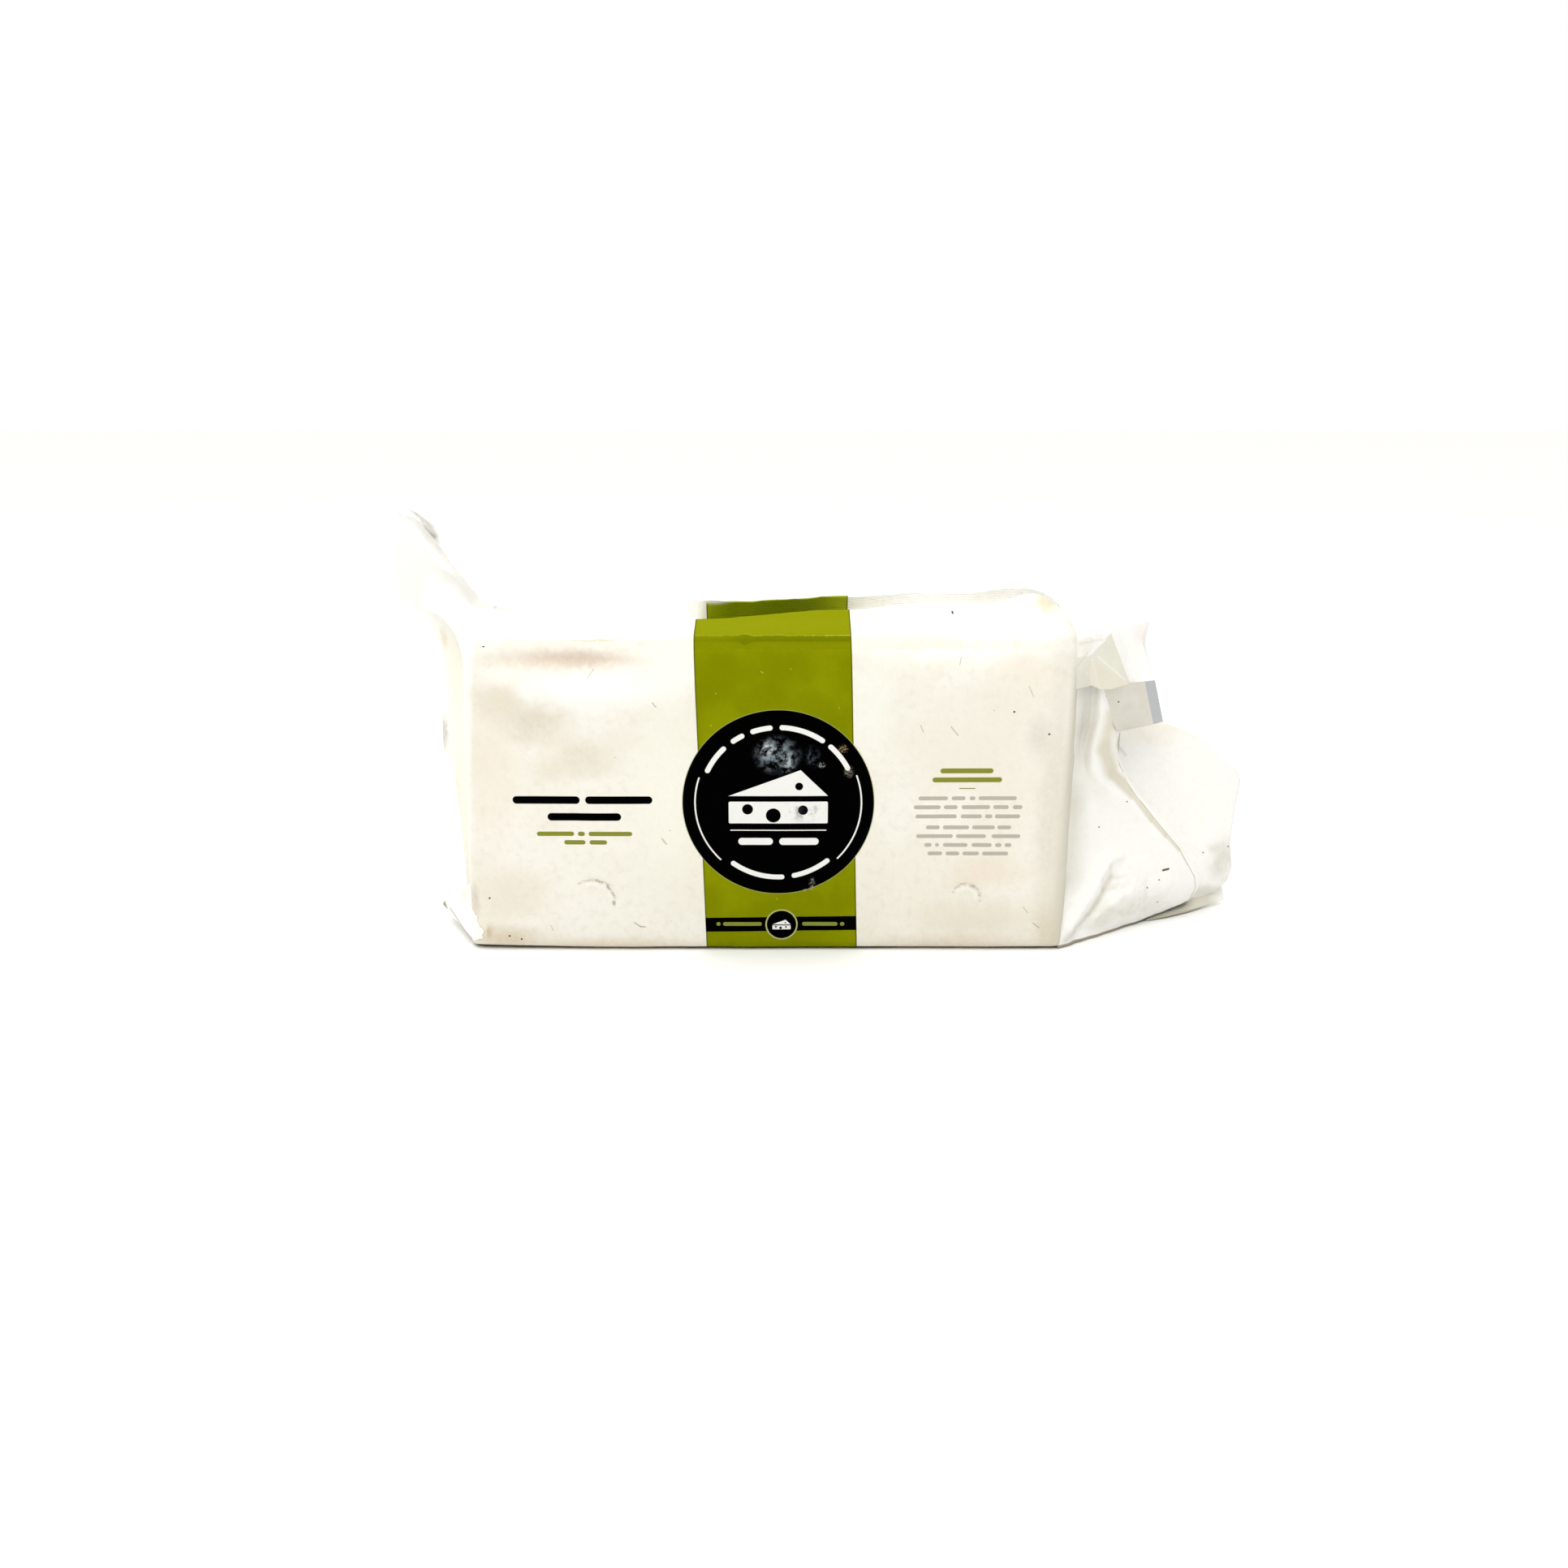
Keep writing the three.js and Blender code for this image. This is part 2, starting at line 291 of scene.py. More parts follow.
world = bpy.data.worlds.new("light tent")
world.use_nodes = True
tent = world.node_tree
lit = tent.nodes["Background"]
lit.inputs["Color"].default_value = TENT_LIGHT_COLOUR
lit.inputs["Strength"].default_value = TENT_LIGHT
seen = tent.nodes.new("ShaderNodeBackground")
seen.inputs["Color"].default_value = TENT_SEEN_COLOUR
seen.inputs["Strength"].default_value = TENT_SEEN
choice = tent.nodes.new("ShaderNodeMixShader")
tent.links.new(tent.nodes.new("ShaderNodeLightPath").outputs["Is Camera Ray"], choice.inputs[0])
tent.links.new(lit.outputs[0], choice.inputs[1])
tent.links.new(seen.outputs[0], choice.inputs[2])
tent.links.new(choice.outputs[0], tent.nodes["World Output"].inputs["Surface"])
bpy.context.scene.world = world
bpy.context.scene.view_settings.view_transform = "Standard"
print("the tent lights with", TENT_LIGHT, "and is seen with", TENT_SEEN)

# %% Floor
FLOOR_HALF_SIDE = 3.0
FLOOR_WHITE = (0.93, 0.93, 0.915, 1)
FLOOR_ROUGHNESS = 0.9

floor_bm = bmesh.new()
bmesh.ops.create_grid(floor_bm, x_segments=1, y_segments=1, size=FLOOR_HALF_SIDE)
floor_mesh = bpy.data.meshes.new("floor")
floor_bm.to_mesh(floor_mesh)
floor_bm.free()
floor = bpy.data.objects.new("floor", floor_mesh)
floor_paint = bpy.data.materials.new("white board")
floor_paint.use_nodes = True
floor_shader = floor_paint.node_tree.nodes["Principled BSDF"]
floor_shader.inputs["Base Color"].default_value = FLOOR_WHITE
floor_shader.inputs["Roughness"].default_value = FLOOR_ROUGHNESS
floor_mesh.materials.append(floor_paint)
bpy.context.scene.collection.objects.link(floor)
print("the floor is", 2 * FLOOR_HALF_SIDE, "metres wide")


# %% Lamps
def aim_lamp(name, data, place, aim):
    lamp = bpy.data.objects.new(name, data)
    lamp.location = place
    lamp.rotation_euler = (Vector(aim) - Vector(place)).to_track_quat("-Z", "Y").to_euler()
    bpy.context.scene.collection.objects.link(lamp)


TOP_LIGHT = 3.1
TOP_SPREAD = 85
TOP_PLACE = (-0.08, 0.05, 1.0)
LAMP_AIM = (0.0, 0.0, 0.05)
# Each lamp is its name, its place, its two sides in metres and its power in watts.
LAMPS = [
    ("front lamp", (-0.1, -0.74, 0.78), (0.6, 0.5), 2.7),
    ("left lamp", (-0.8, -0.2, 0.6), (0.5, 0.5), 1.5),
    ("right lamp", (0.8, -0.35, 0.55), (0.5, 0.5), 0.8),
    ("back lamp", (0.15, 0.8, 0.7), (0.8, 0.5), 1.2),
]

top = bpy.data.lights.new("tent roof", "SUN")
top.energy = TOP_LIGHT
top.angle = math.radians(TOP_SPREAD)
aim_lamp("tent roof", top, TOP_PLACE, (0.0, 0.0, 0.0))
for name, lamp_place, sides, power in LAMPS:
    lamp_data = bpy.data.lights.new(name, "AREA")
    lamp_data.shape = "RECTANGLE"
    lamp_data.size, lamp_data.size_y = sides
    lamp_data.energy = power
    aim_lamp(name, lamp_data, lamp_place, LAMP_AIM)
print("lamps:", len(LAMPS), "and the tent's roof with", TOP_LIGHT)

# %% [markdown]
# ## Drawing a print with nodes
# The print is flat ink on film: a band, a round label with a wedge of cheese on it, a bar and rows of
# plain dashes. Each shape is a mask, a number that is 1 on the ink and 0 off it, worked out from the
# distance to the shape. Such a mask stays sharp at any zoom, which a painted picture wouldn't. A small
# class keeps the wiring short.

# %% Node pen
EDGE_SOFTNESS = 0.14


class NodePen:
    """Adds shader nodes to one tree and wires them from plain numbers or other nodes."""

    def __init__(self, tree):
        self.tree = tree

    def node(self, kind, **settings):
        made = self.tree.nodes.new(kind)
        for name, value in settings.items():
            setattr(made, name, value)
        return made

    def plug(self, value, socket):
        if isinstance(value, bpy.types.NodeSocket):
            self.tree.links.new(value, socket)
        else:
            socket.default_value = value

    def math(self, operation, *values, clamp=False):
        made = self.node("ShaderNodeMath", operation=operation, use_clamp=clamp)
        for value, socket in zip(values, made.inputs):
            self.plug(value, socket)
        return made.outputs[0]

    def product(self, first, *others):
        """Masks and amounts multiplied in turn."""
        for value in others:
            first = self.math("MULTIPLY", first, value)
        return first

    def gap(self, value, middle):
        """How far a number is from a middle."""
        return self.math("ABSOLUTE", self.math("SUBTRACT", value, middle))

    def vector(self, operation, *values):
        made = self.node("ShaderNodeVectorMath", operation=operation)
        for value, socket in zip(values, made.inputs):
            self.plug(value, socket)
        return made.outputs["Value"] if operation == "LENGTH" else made.outputs[0]

    def split(self, vector):
        made = self.node("ShaderNodeSeparateXYZ")
        self.plug(vector, made.inputs[0])
        return made.outputs

    def flat(self, place):
        """The place without its depth, so that a mark drawn on it runs straight through the film."""
        return self.vector("MULTIPLY", place, (1, 0, 1))

    def join(self, x, y, z):
        made = self.node("ShaderNodeCombineXYZ")
        for value, socket in zip((x, y, z), made.inputs):
            self.plug(value, socket)
        return made.outputs[0]

    def inside(self, distance, softness=EDGE_SOFTNESS):
        """1 where a distance is below zero, 0 where it is above, with a soft edge."""
        return self.math("MULTIPLY_ADD", distance, -1 / softness, 0.5, clamp=True)

    def ramp(self, value, low, high):
        made = self.node("ShaderNodeMapRange", interpolation_type="SMOOTHSTEP")
        self.plug(value, made.inputs["Value"])
        made.inputs["From Min"].default_value = low
        made.inputs["From Max"].default_value = high
        return made.outputs["Result"]

    def over(self, under, paint, share):
        """Lays a colour over another where share is 1."""
        made = self.node("ShaderNodeMix", data_type="RGBA")
        self.plug(share, made.inputs[0])
        self.plug(under, made.inputs[6])
        self.plug(paint, made.inputs[7])
        return made.outputs[2]

    def noise(self, place, scale, detail=2.0, rough=0.5):
        made = self.node("ShaderNodeTexNoise")
        self.plug(place, made.inputs["Vector"])
        made.inputs["Scale"].default_value = scale
        made.inputs["Detail"].default_value = detail
        made.inputs["Roughness"].default_value = rough
        return made.outputs[0]

    def disc(self, place, centre, radius):
        away = self.vector("SUBTRACT", place, centre)
        return self.inside(self.math("SUBTRACT", self.vector("LENGTH", away), radius))

    def patch(self, place, centre, reach):
        """A soft oval in x and z: 1 in its middle, 0 at its edge."""
        away = self.vector("SUBTRACT", place, (centre[0], 0, centre[1]))
        share = self.vector("MULTIPLY", away, (1 / reach[0], 0, 1 / reach[1]))
        return self.ramp(self.vector("LENGTH", share), 1.0, 0.1)

    def stroke(self, place, start, end, half, softness=EDGE_SOFTNESS):
        """A short line from start to end in x and z."""
        middle = ((start[0] + end[0]) / 2, 0, (start[1] + end[1]) / 2)
        turned = self.node("ShaderNodeVectorRotate", rotation_type="Y_AXIS")
        self.plug(self.vector("SUBTRACT", place, middle), turned.inputs["Vector"])
        turned.inputs["Angle"].default_value = math.atan2(end[1] - start[1], end[0] - start[0])
        length = math.hypot(end[0] - start[0], end[1] - start[1])
        return self.dash(turned.outputs[0], (0, 0, 0), (length / 2, 0, 0), half, softness)

    def dash(self, place, centre, half, radius, softness=EDGE_SOFTNESS):
        """A bar with round ends: a box grown by a radius."""
        away = self.vector("ABSOLUTE", self.vector("SUBTRACT", place, centre))
        beyond = self.vector("MAXIMUM", self.vector("SUBTRACT", away, half), (0, 0, 0))
        return self.inside(self.math("SUBTRACT", self.vector("LENGTH", beyond), radius), softness)

    def either(self, *masks):
        total = masks[0]
        for mask in masks[1:]:
            total = self.math("MAXIMUM", total, mask)
        return total


def ink(red, green, blue):
    """A colour given as it looks on a screen, 0 to 255, turned into light."""
    light = []
    for value in (red, green, blue):
        if value > 10:
            light.append(((value / 255 + 0.055) / 1.055) ** 2.4)
        else:
            light.append(value / 255 / 12.92)
    return (*light, 1.0)


print("mid grey is", round(ink(128, 128, 128)[0], 3), "of the light")

# %% [markdown]
# ## Where the print stands
# The band runs right round the pack and leans by a degree and a half, because the web ran a little
# crooked through the machine. The rows below give each printed dash, from one x to another. Modelled
# strips would stand off the film, and numbers in a list are easy to move.

# %% Print layout
BAND_HALF = 24.1
BAND_FOOT_X = -15.8
BAND_LEAN = -0.028
BAND_TOP_Z = 101.0
FIN_BAND_X = -17.35
FIN_BAND_HALF = 22.95
RIB_PITCH = 0.55
LABEL_X, LABEL_Z, LABEL_RADIUS = -16.9, 49.4, 29.9
RING_RADIUS, RING_HALF_WIDTH = 26.0, 0.24
RING_ARCS = [(-44.6, 20.6), (161.0, 180.4), (-180.4, -134.0)]
ARC_DASH_RADIUS, ARC_DASH_HALF = 24.4, 0.8
ARC_DASHES = [(132.0, 156.0), (115.5, 126.5), (94.0, 110.5), (54.0, 89.0), (26.0, 50.0)]
ARC_DASHES += [(-127.5, -85.5), (-80.0, -49.0)]
LABEL_ROWS = [(40.6, 0.16, [(-32.0, -1.8)]), (36.9, 1.15, [(-29.5, -18.6), (-16.6, -4.2)])]
MARK_Z, MARK_SIZE = 50.6, 15.5
BAR_MIDDLE_Z, BAR_HALF, BAR_TILT = 9.1, 2.4, 0.0125
BADGE_X, BADGE_Z, BADGE_RADIUS, BADGE_RIM = -15.9, 8.9, 4.7, 5.15
BADGE_MARK_Z, BADGE_MARK_SIZE = 8.7, 2.9

# Each row is the height of its middle, half the height of its dashes, and the dashes from x to x.
DARK_ROWS = [
    (50.5, 1.25, [(-99.9, -78.9), (-77.2, -56.2)]),
    (45.0, 1.25, [(-89.2, -66.1)]),
]
OLIVE_ROWS = [
    (39.4, 0.72, [(-92.8, -81.1), (-79.9, -77.7), (-76.5, -62.8)]),
    (36.6, 0.72, [(-84.3, -77.6), (-76.3, -70.8)]),
    (59.9, 0.8, [(33.5, 50.0)]),
    (57.0, 0.8, [(31.1, 52.8)]),
    (54.2, 0.16, [(39.5, 44.6)]),
]
PALE_ROWS = [
    (51.0, 0.62, [(26.9, 36.1), (37.3, 41.6), (42.9, 44.7), (45.7, 57.6)]),
    (48.1, 0.62, [(25.5, 33.9), (34.9, 39.2), (40.5, 49.4), (50.4, 55.2), (56.5, 59.5)]),
    (45.1, 0.62, [(26.1, 39.0), (40.3, 46.9), (47.9, 50.2), (51.0, 58.9)]),
    (41.5, 0.62, [(29.5, 33.8), (34.8, 43.0), (44.0, 51.1), (51.9, 56.2)]),
    (38.6, 0.62, [(26.5, 38.0), (39.0, 48.4), (50.2, 59.2)]),
    (35.7, 0.62, [(29.1, 31.4), (32.5, 33.7), (35.0, 42.7), (44.0, 50.3), (51.4, 53.4), (54.4, 56.5)]),
    (32.9, 0.62, [(30.2, 34.8), (35.9, 40.2), (41.2, 46.4), (47.4, 55.6)]),
]
BAR_DASHES = [(-36.7, -35.4), (-34.6, -22.2), (-9.3, 2.0), (2.8, 4.2)]
BAR_DASH_HALF = 0.62
dash_count = sum(len(row[2]) for row in DARK_ROWS + OLIVE_ROWS + PALE_ROWS)
print("dashes on the panel:", dash_count)

# %% Inks and film colours
OLIVE = ink(125, 131, 1)
WORN_OLIVE = ink(138, 145, 4)
NICKED_OLIVE = ink(182, 190, 70)
BORDER_OLIVE = ink(66, 72, 8)
LABEL_RIM_INK = ink(168, 174, 110)
BADGE_RIM_INK = ink(178, 184, 120)
BAR_DASH_INK = ink(132, 138, 58)
BLACK = ink(1, 1, 1)
SMALL_OLIVE = ink(136, 140, 52)
PALE_GREY = ink(186, 181, 168)
FILM_WHITE = ink(253, 252, 248)
CHEESE_TINT = ink(238, 233, 218)
PRINT_WHITE = ink(240, 240, 236)
SPECK = ink(70, 66, 56)
TAN = ink(224, 216, 196)
END_CREAM = ink(249, 247, 237)
# Painted shade for the film where it turns back round the brick's right corner.
CORNER_PAINTED_SHADE = ink(212, 207, 191)
# The dark line along the foot is grime and painted contact shadow together.
FOOT_GRIME_AND_SHADE = ink(60, 48, 14)
END_FOOT_GRIME_AND_SHADE = ink(128, 114, 74)
print("olive ink:", [round(value, 3) for value in OLIVE[:3]])

# %% [markdown]
# ## The film material
# The film is white plastic with a satin face. Where it lies on the cheese the brick shows through as a
# warm cream tint, and where it stands off, at the ends and folds, it is a cooler white. Fine crinkles
# are too small to model, so they are bump: a broad soft one and a finer one. One function builds the
# base, and the print is laid over it only on the pieces that carry it.

# %% Cheese under the film
# How far both ends of the brick lean, for each millimetre of height.
LEFT_END_SLOPE = -0.075
RIGHT_END_SLOPE = -0.05


def over_cheese(pen, x, y, z, broad):
    """Film that lies on the brick: cream where they touch. Returns the colour and the brick's mask."""
    left_lean = pen.math("MULTIPLY_ADD", z, LEFT_END_SLOPE, x)
    right_lean = pen.math("MULTIPLY_ADD", z, RIGHT_END_SLOPE, x)
    on_brick = pen.product(pen.ramp(left_lean, -118.6, -115.8), pen.ramp(right_lean, 71.3, 69.0))
    touching = pen.math("MULTIPLY_ADD", pen.ramp(broad, 0.35, 0.65), 0.3, 0.55)
    colour = pen.over(FILM_WHITE, CHEESE_TINT, pen.product(on_brick, touching))
    below_ear = pen.product(pen.ramp(z, 102, 92), pen.ramp(x, -129, -124.5))
    colour = pen.over(colour, END_CREAM, pen.product(pen.ramp(left_lean, -116.0, -122), below_ear))
    # Painted shade: grey where the film turns back round the brick's right corner.
    painted_corner_shade = pen.product(pen.ramp(right_lean, 68.0, 71.2), pen.ramp(z, 98, 88), pen.ramp(y, 6, 1))
    return pen.over(colour, CORNER_PAINTED_SHADE, pen.product(painted_corner_shade, 0.9)), on_brick


print("cheese tint:", [round(value, 3) for value in CHEESE_TINT[:3]])

# %% Dirt and dust
# Heights of the line of grime and painted contact shadow along the foot.
FOOT_GRIME_SHADE_TOP, FOOT_GRIME_SHADE_FULL = 1.25, 0.85
DUST_SCALE = 0.12
DUST_RADIUS = 0.018
DUST_SHARE = 0.2


def dirt_and_foot_shade(pen, z, colour, mottle, grain, on_brick):
    """Tan dirt in two sizes, more of it on the brick, and a line of grime and painted contact shadow along
    the foot.
    """
    tinted = on_brick is not None
    dirt = pen.math("MULTIPLY_ADD", on_brick, 0.8, 0.2) if tinted else 0.3
    colour = pen.over(colour, TAN, pen.product(pen.ramp(mottle, 0.45, 0.8), 0.4, dirt))
    colour = pen.over(colour, TAN, pen.product(pen.ramp(grain, 0.5, 0.8), 0.16, dirt))
    # Grime and painted contact shadow in a thin line just above the floor.
    foot_edge = pen.product(pen.ramp(z, FOOT_GRIME_SHADE_TOP, FOOT_GRIME_SHADE_FULL), pen.ramp(z, 0.0, 0.1))
    grime_and_shade, amount = (FOOT_GRIME_AND_SHADE, 0.9) if tinted else (END_FOOT_GRIME_AND_SHADE, 0.8)
    return pen.over(colour, grime_and_shade, pen.product(foot_edge, amount))


def dust_dots(pen, place):
    """Dark specks: the middles of one cell in five of a wide net of cells."""
    cells = pen.node("ShaderNodeTexVoronoi")
    pen.plug(place, cells.inputs["Vector"])
    cells.inputs["Scale"].default_value = DUST_SCALE
    near = pen.inside(pen.math("SUBTRACT", cells.outputs["Distance"], DUST_RADIUS), 0.02)
    rare = pen.math("GREATER_THAN", pen.split(cells.outputs["Color"])[0], 1 - DUST_SHARE)
    return pen.product(near, rare, 0.7)


print("a speck of dust is", round(2 * DUST_RADIUS / DUST_SCALE, 2), "mm wide")

# %% Film base
MILLIMETRES = (1000, 1000, 1000)
BRICK_SPECULAR = 0.005
LOOSE_SPECULAR = 0.12
CRINKLE_DEPTH = 0.0006


def film_base(name, tinted, crinkle):
    """A film material. Returns it, its pen, the place in millimetres, the base colour and the dust."""
    material = bpy.data.materials.new(name)
    material.use_nodes = True
    pen = NodePen(material.node_tree)
    shader = material.node_tree.nodes["Principled BSDF"]
    shader.inputs["Specular IOR Level"].default_value = BRICK_SPECULAR if tinted else LOOSE_SPECULAR
    place = pen.vector("MULTIPLY", pen.node("ShaderNodeTexCoord").outputs["Object"], MILLIMETRES)
    x, y, z = pen.split(place)

    mottle = pen.noise(place, 0.35, 4, 0.6)
    grain = pen.noise(place, 2.2, 2, 0.5)
    colour, on_brick = FILM_WHITE, None
    if tinted:
        colour, on_brick = over_cheese(pen, x, y, z, pen.noise(place, 0.035, 3, 0.55))
    colour = dirt_and_foot_shade(pen, z, colour, mottle, grain, on_brick)

    pen.plug(pen.math("MULTIPLY_ADD", mottle, 0.16, 0.34), shader.inputs["Roughness"])
    bump = pen.node("ShaderNodeBump")
    bump.inputs["Strength"].default_value = crinkle
    bump.inputs["Distance"].default_value = CRINKLE_DEPTH
    heights = pen.math("MULTIPLY_ADD", mottle, 1.0, pen.product(grain, 0.12))
    pen.plug(heights, bump.inputs["Height"])
    pen.plug(bump.outputs["Normal"], shader.inputs["Normal"])
    return material, pen, place, colour, dust_dots(pen, place)


def close_material(pen, colour, dots):
    """Lays the dust over the finished colour and wires it to the shader."""
    shader = pen.tree.nodes["Principled BSDF"]
    pen.plug(pen.over(colour, SPECK, dots), shader.inputs["Base Color"])


print("the crinkles are up to", round(CRINKLE_DEPTH / METRES, 2), "mm deep")

# %% Band
BORDER_AMOUNT = 0.7


def band_middle(pen, z):
    """The x of the band's middle: it leans on the panel and runs straight over the roof."""
    return pen.math("MULTIPLY_ADD", pen.math("MINIMUM", z, BAND_TOP_Z), BAND_LEAN, BAND_FOOT_X)


def band_mask(pen, x, middle, half):
    return pen.inside(pen.math("SUBTRACT", pen.gap(x, middle), half), 0.1)


def band_border(pen, x, colour, middle, half):
    """The ink lies thicker along both edges of the band, as a darker line."""
    away = pen.gap(x, middle)
    line = pen.product(pen.ramp(away, half - 0.55, half - 0.2), pen.ramp(away, half + 0.1, half))
    return pen.over(colour, BORDER_OLIVE, pen.product(line, BORDER_AMOUNT))


print("the band is", 2 * BAND_HALF, "mm wide")

# %% [markdown]
# ## The printed panel and the band
# Only the front panel carries the label and the dashes, so it gets a material of its own, and the rest
# of the tube has the band alone. One material for all of it would work too, but each side would then
# need masks that keep the other's print off it. The masks are stacked as a printer stacks inks: olive
# first, then black, then white.

# %% Dashes and straight edges
def dashes(pen, place, rows):
    """All the dashes of some rows."""
    masks = []
    for height, half, spans in rows:
        for start, end in spans:
            centre = ((start + end) / 2, 0, height)
            reach = ((end - start) / 2 - half, 0, 0)
            masks.append(pen.dash(place, centre, reach, half))
    return pen.either(*masks)


def half_plane(pen, place, point, outward):
    """1 on the inner side of a line through a point."""
    length = math.hypot(*outward)
    normal = (outward[0] / length, 0, outward[1] / length)
    made = pen.node("ShaderNodeVectorMath", operation="DOT_PRODUCT")
    pen.plug(place, made.inputs[0])
    made.inputs[1].default_value = normal
    limit = normal[0] * point[0] + normal[2] * point[1]
    return pen.inside(pen.math("SUBTRACT", made.outputs["Value"], limit))


def triangle(pen, place, corners):
    """The mask of a triangle whose corners go round clockwise in (x, z)."""
    masks = []
    for start, end in zip(corners, corners[1:] + corners[:1]):
        outward = (start[1] - end[1], end[0] - start[0])
        masks.append(half_plane(pen, place, start, outward))
    return pen.product(*masks)


print("straight edges are", EDGE_SOFTNESS, "mm soft")

# %% Mark of cheese
CHEESE_HOLES = [(-0.62, -0.2, 0.11), (-0.1, -0.33, 0.15), (0.5, -0.22, 0.1), (0.42, 0.28, 0.08)]


def cheese_mark(pen, place, centre, size):
    """A wedge of cheese: a slanting top, a rind side below it, and holes."""
    def spot(x, z):
        return (centre[0] + x * size, centre[1] + z * size)

    top = triangle(pen, place, [spot(-1.0, 0.08), spot(0.45, 0.62), spot(1.0, 0.08)])
    side_at = spot(0, -0.27)
    side = pen.dash(place, (side_at[0], 0, side_at[1]), (0.97 * size, 0, 0.2 * size), 0.03 * size)
    mark = pen.either(top, side)
    for x, z, radius in CHEESE_HOLES:
        hole_at = spot(x, z)
        hole = pen.disc(place, (hole_at[0], 0, hole_at[1]), radius * size)
        mark = pen.math("SUBTRACT", mark, hole, clamp=True)
    return mark


print("the emblem is a wedge of cheese with", len(CHEESE_HOLES), "holes")

# %% [markdown]
# ## Stains and marks on the panel
# The pack has been stored and handled, so the panel has stains where cheese or damp lies under the
# film, is paler where it stands off, and has short scratches, flecks and two thumb marks. Some of the
# ovals are painted shade and painted highlight: shade in the dents and along the foot and the side
# corners, and a highlight on the swell. The thumb marks have painted shade in their dents and a painted
# highlight on their rims. Soft ovals with ragged edges give the stains and the painted shade, and thin
# lines give the scratches. A painted picture of them would blur close up, and each of these is moved by
# its numbers.

# %% Stains, scratches and thumb marks
# Each stain is its middle (x, z), its reach (x, z), its colour and how much of it is laid on.
# Not all of these are stains. Painted shade: the dark strip in the dent under the left crease, the darker
# patch over the dent below it, the darker ovals along the foot and those down the right and lower left
# corners. Painted highlight: the bright oval on the swell.
PANEL_STAINS_AND_PAINTED_LIGHT = [
    ((-52, 50), (18, 46), ink(246, 244, 232), 0.8),
    ((12, 82), (12, 22), ink(245, 245, 234), 0.8),
    ((-74, 85.5), (38, 9), ink(255, 254, 249), 1.1),
    ((-97, 90.3), (16, 5), ink(251, 248, 238), 0.8),
    ((-50, 93), (16, 9), ink(252, 251, 240), 0.9),
    ((38, 100), (44, 12), ink(254, 253, 244), 1.0),
    ((-83, 94.6), (34, 5.0), ink(229, 216, 200), 0.95),
    ((-78, 95.0), (19, 3.2), ink(212, 196, 178), 0.75),
    ((-106, 60), (12, 36), ink(240, 229, 212), 0.55),
    ((-103, 82), (12, 10), ink(231, 222, 204), 0.85),
    ((-91.5, 75), (16, 11), ink(225, 217, 200), 0.9),
    ((-78, 64.5), (16, 10), ink(228, 221, 204), 0.85),
    ((-66, 70), (10, 6), ink(236, 231, 217), 0.6),
    ((-88, 60), (9, 6), ink(230, 222, 204), 0.6),
    ((-100, 20), (18, 13), ink(233, 224, 207), 0.65),
    ((-104, 4.5), (17, 5.5), ink(220, 207, 184), 0.85),
    ((-70, 1.5), (44, 4.5), ink(226, 213, 191), 0.7),
    ((40, 1.5), (44, 6.0), ink(224, 212, 192), 0.75),
    ((46, 66), (36, 28), ink(238, 233, 219), 0.7),
    ((63.4, 71), (5.5, 10), ink(222, 217, 206), 0.7),
    ((58, 93), (12, 8), ink(242, 229, 216), 0.5),
    ((50, 26.5), (20, 8), ink(238, 222, 204), 0.55),
    ((46, 11), (30, 9), ink(230, 222, 204), 0.65),
    ((69.0, 8), (6, 13), ink(220, 208, 184), 0.75),
    ((-113.6, 17), (2.6, 8), ink(220, 211, 196), 1.0),
    ((-109.4, 6.5), (2.0, 3.6), ink(206, 190, 158), 0.8),
    ((69, 45), (8, 62), ink(226, 220, 206), 0.75),
]
# Each scratch is its start, its end, half its width and how dark it is.
PANEL_SCRATCHES = [
    ((27.0, 74.5), (27.8, 72.4), 0.14, 0.5),
    ((36.4, 74.0), (38.6, 71.3), 0.18, 0.5),
    ((38.9, 95.5), (38.5, 93.3), 0.14, 0.4),
    ((-75.2, 89.3), (-73.1, 92.1), 0.14, 0.4),
    ((-55.4, 81.7), (-54.4, 80.3), 0.2, 0.5),
    ((59.8, 86.7), (61.3, 83.7), 0.15, 0.4),
    ((-53.4, 37.7), (-52.2, 36.0), 0.3, 0.4),
    ((-62.8, 9.6), (-61.0, 8.3), 0.2, 0.6),
    ((-61.0, 8.3), (-59.5, 8.2), 0.2, 0.6),
    ((-89.8, 8.7), (-89.0, 6.9), 0.15, 0.4),
    ((61.2, 14.8), (62.7, 12.9), 0.15, 0.4),
    ((64.6, 9.3), (66.5, 7.8), 0.2, 0.5),
]
PANEL_FLECKS = [(-106.8, 98.7), (-108.8, 17.9), (-103.1, 5.0), (-99.3, 3.9), (55.6, 78.8), (66.7, 71.7)]
# Each thumb mark is its middle, its radius and its angles from and to.
THUMB_MARKS = [((-76.0, 17.0), 6.9, -12, 122), ((42.6, 17.9), 4.6, -8, 152)]
print("stains:", len(PANEL_STAINS_AND_PAINTED_LIGHT), "scratches:", len(PANEL_SCRATCHES), "flecks:", len(PANEL_FLECKS))


# %% Painting stains and strokes
def ragged(pen, place, size, amount):
    """The place, shifted to and fro by noise, so that an oval drawn on it has a ragged edge."""
    made = pen.node("ShaderNodeTexNoise")
    pen.plug(place, made.inputs["Vector"])
    made.inputs["Scale"].default_value = 1 / size
    made.inputs["Detail"].default_value = 3.0
    shift = pen.vector("SUBTRACT", made.outputs["Color"], (0.5, 0.5, 0.5))
    return pen.vector("ADD", place, pen.vector("MULTIPLY", shift, (amount, amount, amount)))


SMALL_STAIN = 6
FLECK_RADIUS = 0.32


